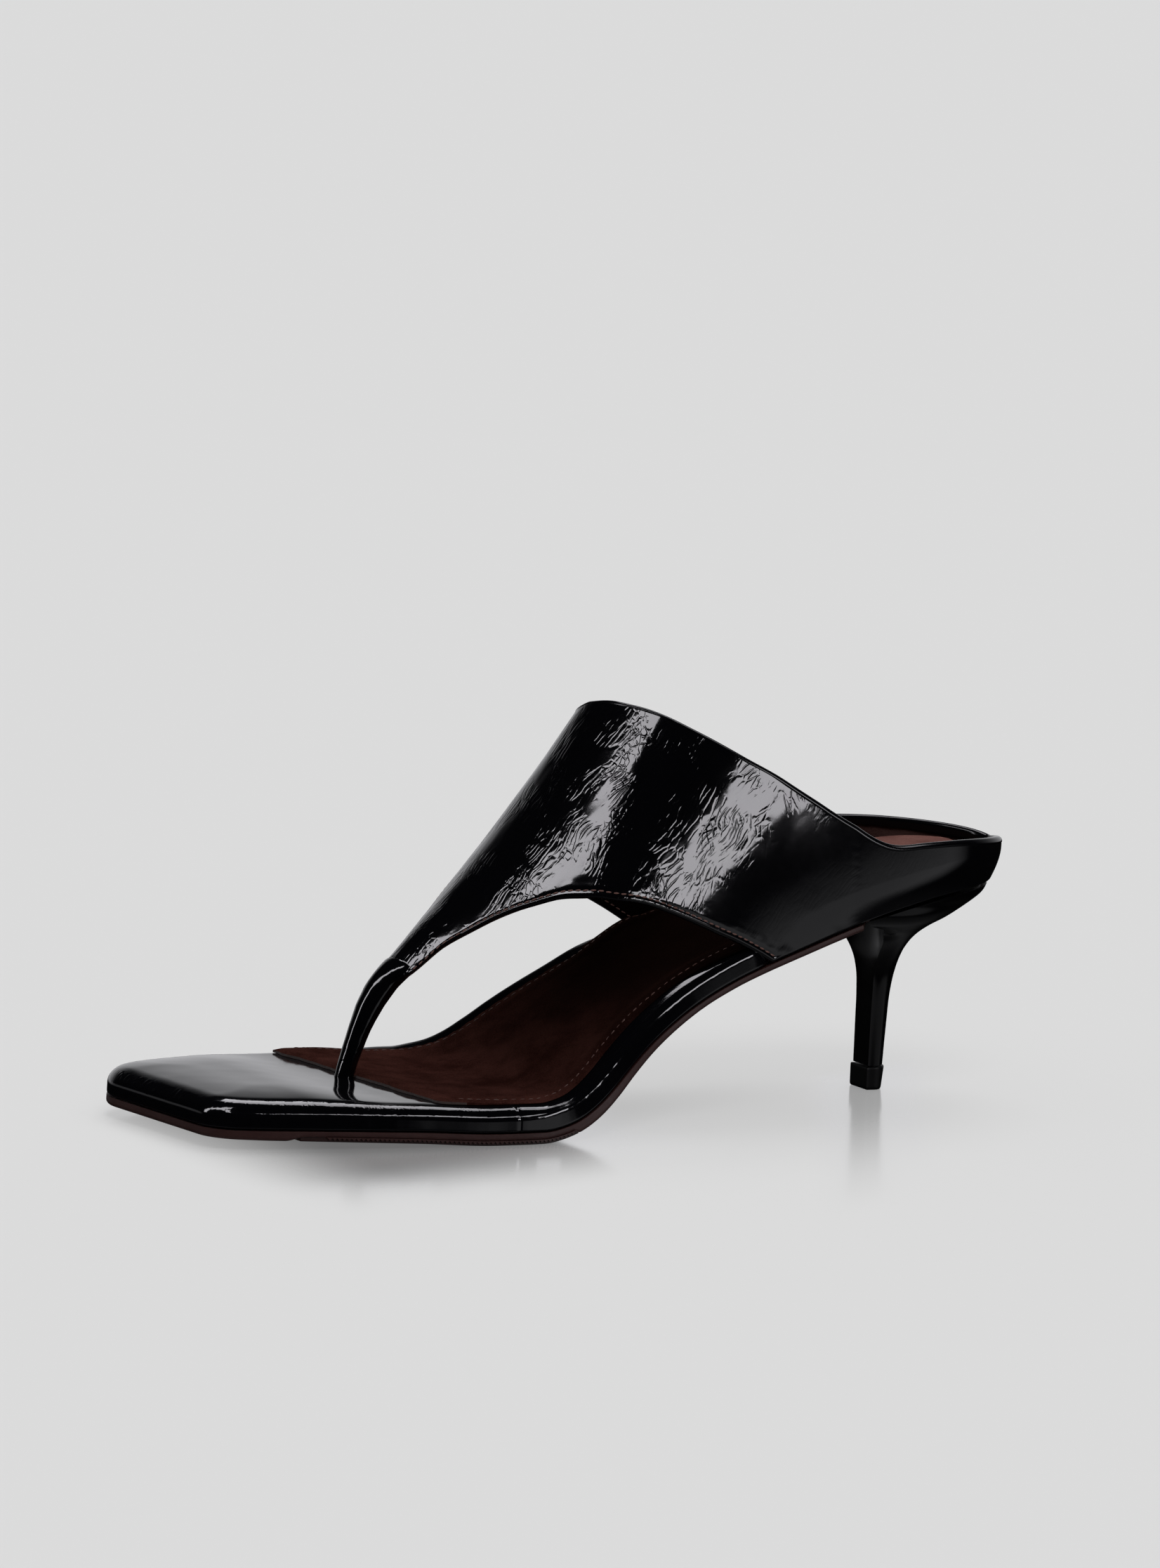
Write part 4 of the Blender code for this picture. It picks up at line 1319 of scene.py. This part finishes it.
def heel_section(height, grow=0.0, shift_back=0.0):
    """Closed loop of x, back for a level cut through the heel."""
    value = {key: smooth(HEEL_SECTIONS, "height", key, height) for key in HEEL_SECTIONS}
    front, back = value["front"] - grow, value["back"] + grow + shift_back
    half, widest = value["half"] + grow, value["widest"]
    front_half = value["front_half"] + grow

    def side_x(place):
        if place <= widest:
            return front_half + (half - front_half) * ease(place, front, widest)
        return half * math.sqrt(max(1.0 - ((place - widest) / (back - widest)) ** HEEL_ROUNDNESS, 0.0))

    turns = [math.radians(a) for a in steps(0.0, 90.0, SIDE_STEPS)]
    places = [front + (back - front) * math.sin(turn) ** 1.2 for turn in turns]
    lateral = [(side_x(place), place) for place in places]
    medial = [(-x, place) for x, place in lateral[-2::-1]]
    corner = lateral[0][0]
    depth = value["breast"] - value["front"]
    shares = steps(-1.0, 1.0, BREAST_STEPS)[1:-1]
    breast = [(corner * u, front + depth * (1.0 - u * u)) for u in shares]
    return lateral + medial + breast


def carve(bm, *cutters):
    """Take other bmeshes away from one. Boolean is a modifier, so this uses short-lived objects."""
    objects = [add_object("carve", into_mesh("carve", part)) for part in (bm, *cutters)]
    body = objects[0]
    for cutter in objects[1:]:
        boolean = body.modifiers.new("carve", "BOOLEAN")
        boolean.operation, boolean.solver, boolean.object = "DIFFERENCE", "MANIFOLD", cutter
    bpy.context.view_layer.update()
    carved = bmesh.new()
    carved.from_object(body, bpy.context.evaluated_depsgraph_get())
    for each in objects:
        mesh = each.data
        bpy.data.objects.remove(each)
        bpy.data.meshes.remove(mesh)
    bmesh.ops.remove_doubles(carved, verts=carved.verts, dist=0.01 * MM)
    bmesh.ops.dissolve_degenerate(carved, dist=0.01 * MM, edges=carved.edges)
    return carved


def above(back):
    return outsole_thickness(back) + CUTTER_HEIGHT


def loft(levels, loops):
    """A solid through one loop of x, back at each height."""

    def lay(column, row):
        x, back = loops[row][column]
        return Vector((x, back - REST_BACK, levels[row])) * MM

    return skin(len(loops[0]), len(levels), lay)


def make_heel():
    levels = steps(TIP_HEIGHT, 32.0, 26) + steps(32.5, 53.0, 50)
    bm = loft(levels, [heel_section(height) for height in levels])
    cuts = steps(160.0, 244.0, 42)
    sole_end = outline(lambda station, side: tuck(station, side) - GAP, OUTSOLE_END + GAP)
    pocket = bent_plate(sole_end, lambda back: -GAP, above, (0.0, 0.0), cuts)
    seat = bent_plate(outline(lambda station, side: -3.0), outsole_thickness, above, (0.0, 0.0), cuts)
    carved = carve(bm, pocket, seat)
    make_piece("heel_moulding", carved, [heel_finish], ["heel"], 42.0)


def make_top_lift():
    """Stands proud of the column all round, and leans forward at its back."""
    top = TIP_HEIGHT - GAP
    levels = [0.0, 0.06, 0.2, 0.45, 0.8] + steps(1.2, top - 0.7, 6)
    levels += [top - 0.35, top - 0.15, top - 0.05, top]
    loops = []
    for height in levels:
        rounding = rounded_edge(height, 0.7) * 0.6 + rounded_edge(top - height, 0.35) * 0.7
        shift = -TIP_TAPER * (1.0 - height / top)
        loops.append(heel_section(TIP_HEIGHT, TIP_LEDGE - rounding, shift))
    bm = loft(levels, loops)
    make_piece("top_lift_moulding", bm, [lift_finish], ["top_lift"], 42.0)


make_heel()
make_top_lift()

# %% [markdown]
# ## Stitches
#
# Every stitch is the same small bead, a stretched sphere of a few dozen faces that is half sunk in
# its channel. A helper walks along a line at an even pitch and sets one bead after another, each
# tipped a little, as a lockstitch is.

# %% Stitches
STITCH_LEAN = 0.10        # how far a bead tips out of its row
OUTER_STITCH = {"pitch": 1.85, "length": 1.4, "thickness": 0.42}
INNER_STITCH = {"pitch": 1.85, "length": 1.3, "thickness": 0.36}
SOCK_STITCH = {"pitch": 2.2, "length": 1.55, "thickness": 0.4}


def walk(places, pitch):
    """Place and direction at an even pitch along a run of places with their normals."""
    found, due = [], pitch / 2.0
    travelled = 0.0
    for (a, normal_a), (b, normal_b) in zip(places, places[1:]):
        length = (b - a).length
        while due <= travelled + length:
            share = (due - travelled) / length
            normal = normal_a.lerp(normal_b, share).normalized()
            found.append((a.lerp(b, share), (b - a).normalized(), normal))
            due += pitch
        travelled += length
    return found


def sew(bm, places, pitch, length, thickness):
    """Add a row of stitches along places, each a (place, normal) in metres. Sizes are in mm."""
    spots = walk(places, pitch * MM)
    lying = Matrix.Rotation(math.radians(90.0), 4, "Y")
    for place, along, normal in spots:
        side = normal.cross(along).normalized()
        along = (along + side * STITCH_LEAN).normalized()
        side = normal.cross(along).normalized()
        turn = Matrix((along, side, normal)).transposed().to_4x4()
        size = Matrix.Diagonal((length * MM / 2.0, thickness * MM / 2.0, thickness * MM / 2.0, 1.0))
        bmesh.ops.create_uvsphere(
            bm, u_segments=6, v_segments=8, radius=1.0,
            matrix=Matrix.Translation(place) @ turn @ size @ lying,
        )
    return len(spots)


def along_cutout(side, inset, out):
    """Run of (place, normal) along a cut-out, inset from its edge and out from the leather's face."""
    run = []
    for column, rib in enumerate(ring):
        if rib[3] != "cutout" or rib[2] != side:
            continue
        share = 1.0 - inset / lengths[column]
        place = on_rib(rib, share)
        ahead, behind = ring[(column + 1) % len(ring)], ring[column - 1]
        along = on_rib(ahead, share) - on_rib(behind, share)
        normal = along.cross(on_rib(rib, share - 0.01) - place).normalized()
        if normal.x * (1.0 if side == "lateral" else -1.0) < 0.0:
            normal.negate()
        run.append((place + normal * out * MM, normal))
    return run if side == "lateral" else run[::-1]


def make_upper_stitches():
    bm = bmesh.new()
    count = 0
    for side in ("lateral", "medial"):
        count += sew(bm, along_cutout(side, STITCH_INSET, -0.13), **OUTER_STITCH)
        inner = along_cutout(side, STITCH_INSET, -UPPER_WALL - 0.02)
        count += sew(bm, [(place, -normal) for place, normal in inner], **INNER_STITCH)
    print(count, "stitches on the upper")
    make_piece("upper_stitches", bm, [thread])


def make_sock_stitches():
    """One row round the sock, from one front corner round the heel to the other."""
    ends = {"lateral": 70.0, "medial": 62.0}
    loop = outline(lambda s, side: sock_inset(s, side) + SOCK_STITCH_INSET, start=ends)
    run = []
    for x, back in loop:
        height = sock_top(back) + sock_relief(x, back) + 0.02
        place = on_sole(x, back, height)
        slope = steepness(back)
        run.append((place, Vector((0.0, -slope, 1.0)).normalized()))
    bm = bmesh.new()
    print(sew(bm, run, **SOCK_STITCH), "stitches on the sock")
    make_piece("sock_stitches", bm, [sock_thread])


make_upper_stitches()
make_sock_stitches()

# %% [markdown]
# ## The floor and the light
#
# A shoe of black patent is drawn by what it reflects. Four softboxes are seen in reflections only:
# the front and the side one draw the bright bands on the vamp, the low one lights the toe post and
# the back one the rims. Three suns cast no highlight. A wide one behind the shoe throws the soft
# shadow forwards, a wider one fills it, and one in front lights the suede inside the heel. The world
# is black but for a pale backdrop and a few soft patches that the patent mirrors. The floor glows
# faintly, and is polished only before the toe and under the heel, where it mirrors the shoe.

# %% Floor and light
FLOOR_HALF = 20.0
FLOOR_TONE, FLOOR_GLOW = 0.18, 0.495
POLISH_TOE, POLISH_HEEL, POLISH_ROUGHNESS = 0.72, 0.45, 0.16
LIGHTS_AIM = Vector((0.0, 0.05, 0.06))
SOFTBOX_COLOUR = (0.97, 0.95, 1.0)


def make_floor():
    bm = bmesh.new()
    bmesh.ops.create_grid(bm, x_segments=1, y_segments=1, size=FLOOR_HALF)
    mesh = into_mesh("floor", bm)
    matte = Shader(
        "floor_pale", Base_Color=(FLOOR_TONE,) * 3, Roughness=1.0, Specular_IOR_Level=0.0,
        Emission_Color=(1.0, 1.0, 1.0), Emission_Strength=FLOOR_GLOW,
    )
    # before counts metres out sideways from under the heel, and across counts them across the view
    x, y, _ = matte.split(matte.place())
    before = x * 0.949 + (y - 0.114) * 0.314
    across = x * 0.485 + y * 0.875
    at_toe = before.fade(0.048, 0.0) * y.fade(-0.088, -0.042) * y.fade(0.050, 0.010) * POLISH_TOE
    at_toe = at_toe * before.fade(-0.12, -0.07)
    at_heel = before.fade(0.11, 0.0) * across.fade(0.086, 0.096) * across.fade(0.122, 0.112) * POLISH_HEEL
    at_heel = at_heel * before.fade(-0.02, -0.008)
    values = {"Color": (1.0, 1.0, 1.0), "Roughness": POLISH_ROUGHNESS}
    gloss = matte.node("BsdfAnisotropic", {"distribution": "GGX"}, values)
    values = {0: at_toe + at_heel, 1: Signal(matte, matte.surface.outputs[0]), 2: gloss}
    lacquered = matte.node("MixShader", {}, values)
    matte.tree.links.new(lacquered.socket, matte.tree.nodes["Material Output"].inputs["Surface"])
    mesh.materials.append(matte.material)
    floor = add_object("floor", mesh)
    floor.visible_glossy = False


def softbox(name, azimuth, elevation, distance, width, height, radiance, turn=0.0):
    """A panel seen in reflections only, so that it leaves the floor even."""
    data = bpy.data.lights.new(name, "AREA")
    data.shape = "RECTANGLE"
    data.size, data.size_y = width, height
    data.energy = radiance * math.pi * width * height
    data.color = SOFTBOX_COLOUR
    lamp = add_object(name, data)
    lamp.location = LIGHTS_AIM + direction(azimuth, elevation) * distance
    lamp.rotation_mode = "QUATERNION"
    lamp.rotation_quaternion = facing(direction(azimuth, elevation), turn)
    lamp.visible_diffuse = False
    lamp.visible_camera = False


def sun(name, azimuth, elevation, angle, strength):
    """A sun whose own disc the leather doesn't mirror."""
    data = bpy.data.lights.new(name, "SUN")
    data.angle = math.radians(angle)
    data.energy = strength
    lamp = add_object(name, data)
    lamp.rotation_mode = "QUATERNION"
    lamp.rotation_quaternion = facing(direction(azimuth, elevation))
    lamp.visible_glossy = False


def make_world():
    """A pale backdrop low on the far side, a patch for the table, one in front and one underneath."""
    world = bpy.data.worlds.new("backdrop")
    world.use_nodes = True
    bpy.context.scene.world = world
    tree = world.node_tree
    background = tree.nodes["Background"]
    background.inputs["Color"].default_value = (0.97, 0.97, 1.0, 1.0)
    shader = Shader.__new__(Shader)
    shader.tree = tree
    x, y, z = shader.split(shader.node("TexCoord", {}, {}, "Generated"))

    def towards(azimuth, start, full):
        """1 round an azimuth, fading out on both sides of it."""
        way = direction(azimuth, 0.0)
        return (x * way.x + y * way.y).fade(start, full)

    backdrop = towards(-122.0, 0.42, 0.88) * z.fade(0.54, 0.15) * z.fade(-0.14, -0.04) * 0.72
    table = towards(131.0, 0.79, 0.92) * z.fade(-0.06, -0.16) * z.fade(-0.58, -0.40) * 0.75
    front = towards(-50.0, 0.88, 0.99) * z.fade(0.12, 0.02) * z.fade(-0.12, -0.03) * 0.35
    under = z.fade(-0.45, -0.75) * 0.12
    shader.feed(background.inputs["Strength"], 0.003 + backdrop + table + front + under)


make_floor()
softbox("softbox_front", 9.0, 52.0, 1.6, 0.27, 1.20, 15.0, -62.0)
softbox("softbox_low", -14.0, 24.0, 1.6, 0.22, 0.80, 14.0)
softbox("softbox_back", -150.0, 62.0, 1.6, 1.90, 0.66, 7.0)
softbox("softbox_side", 121.5, 9.8, 1.6, 0.54, 0.42, 14.5, 12.0)
sun("sun_behind", -128.0, 58.0, 36.0, 1.5)
sun("sun_fill", 0.0, 90.0, 120.0, 1.5)
sun("sun_front", 75.0, 55.0, 30.0, 1.1)
make_world()
bpy.context.scene.view_settings.view_transform = "Standard"
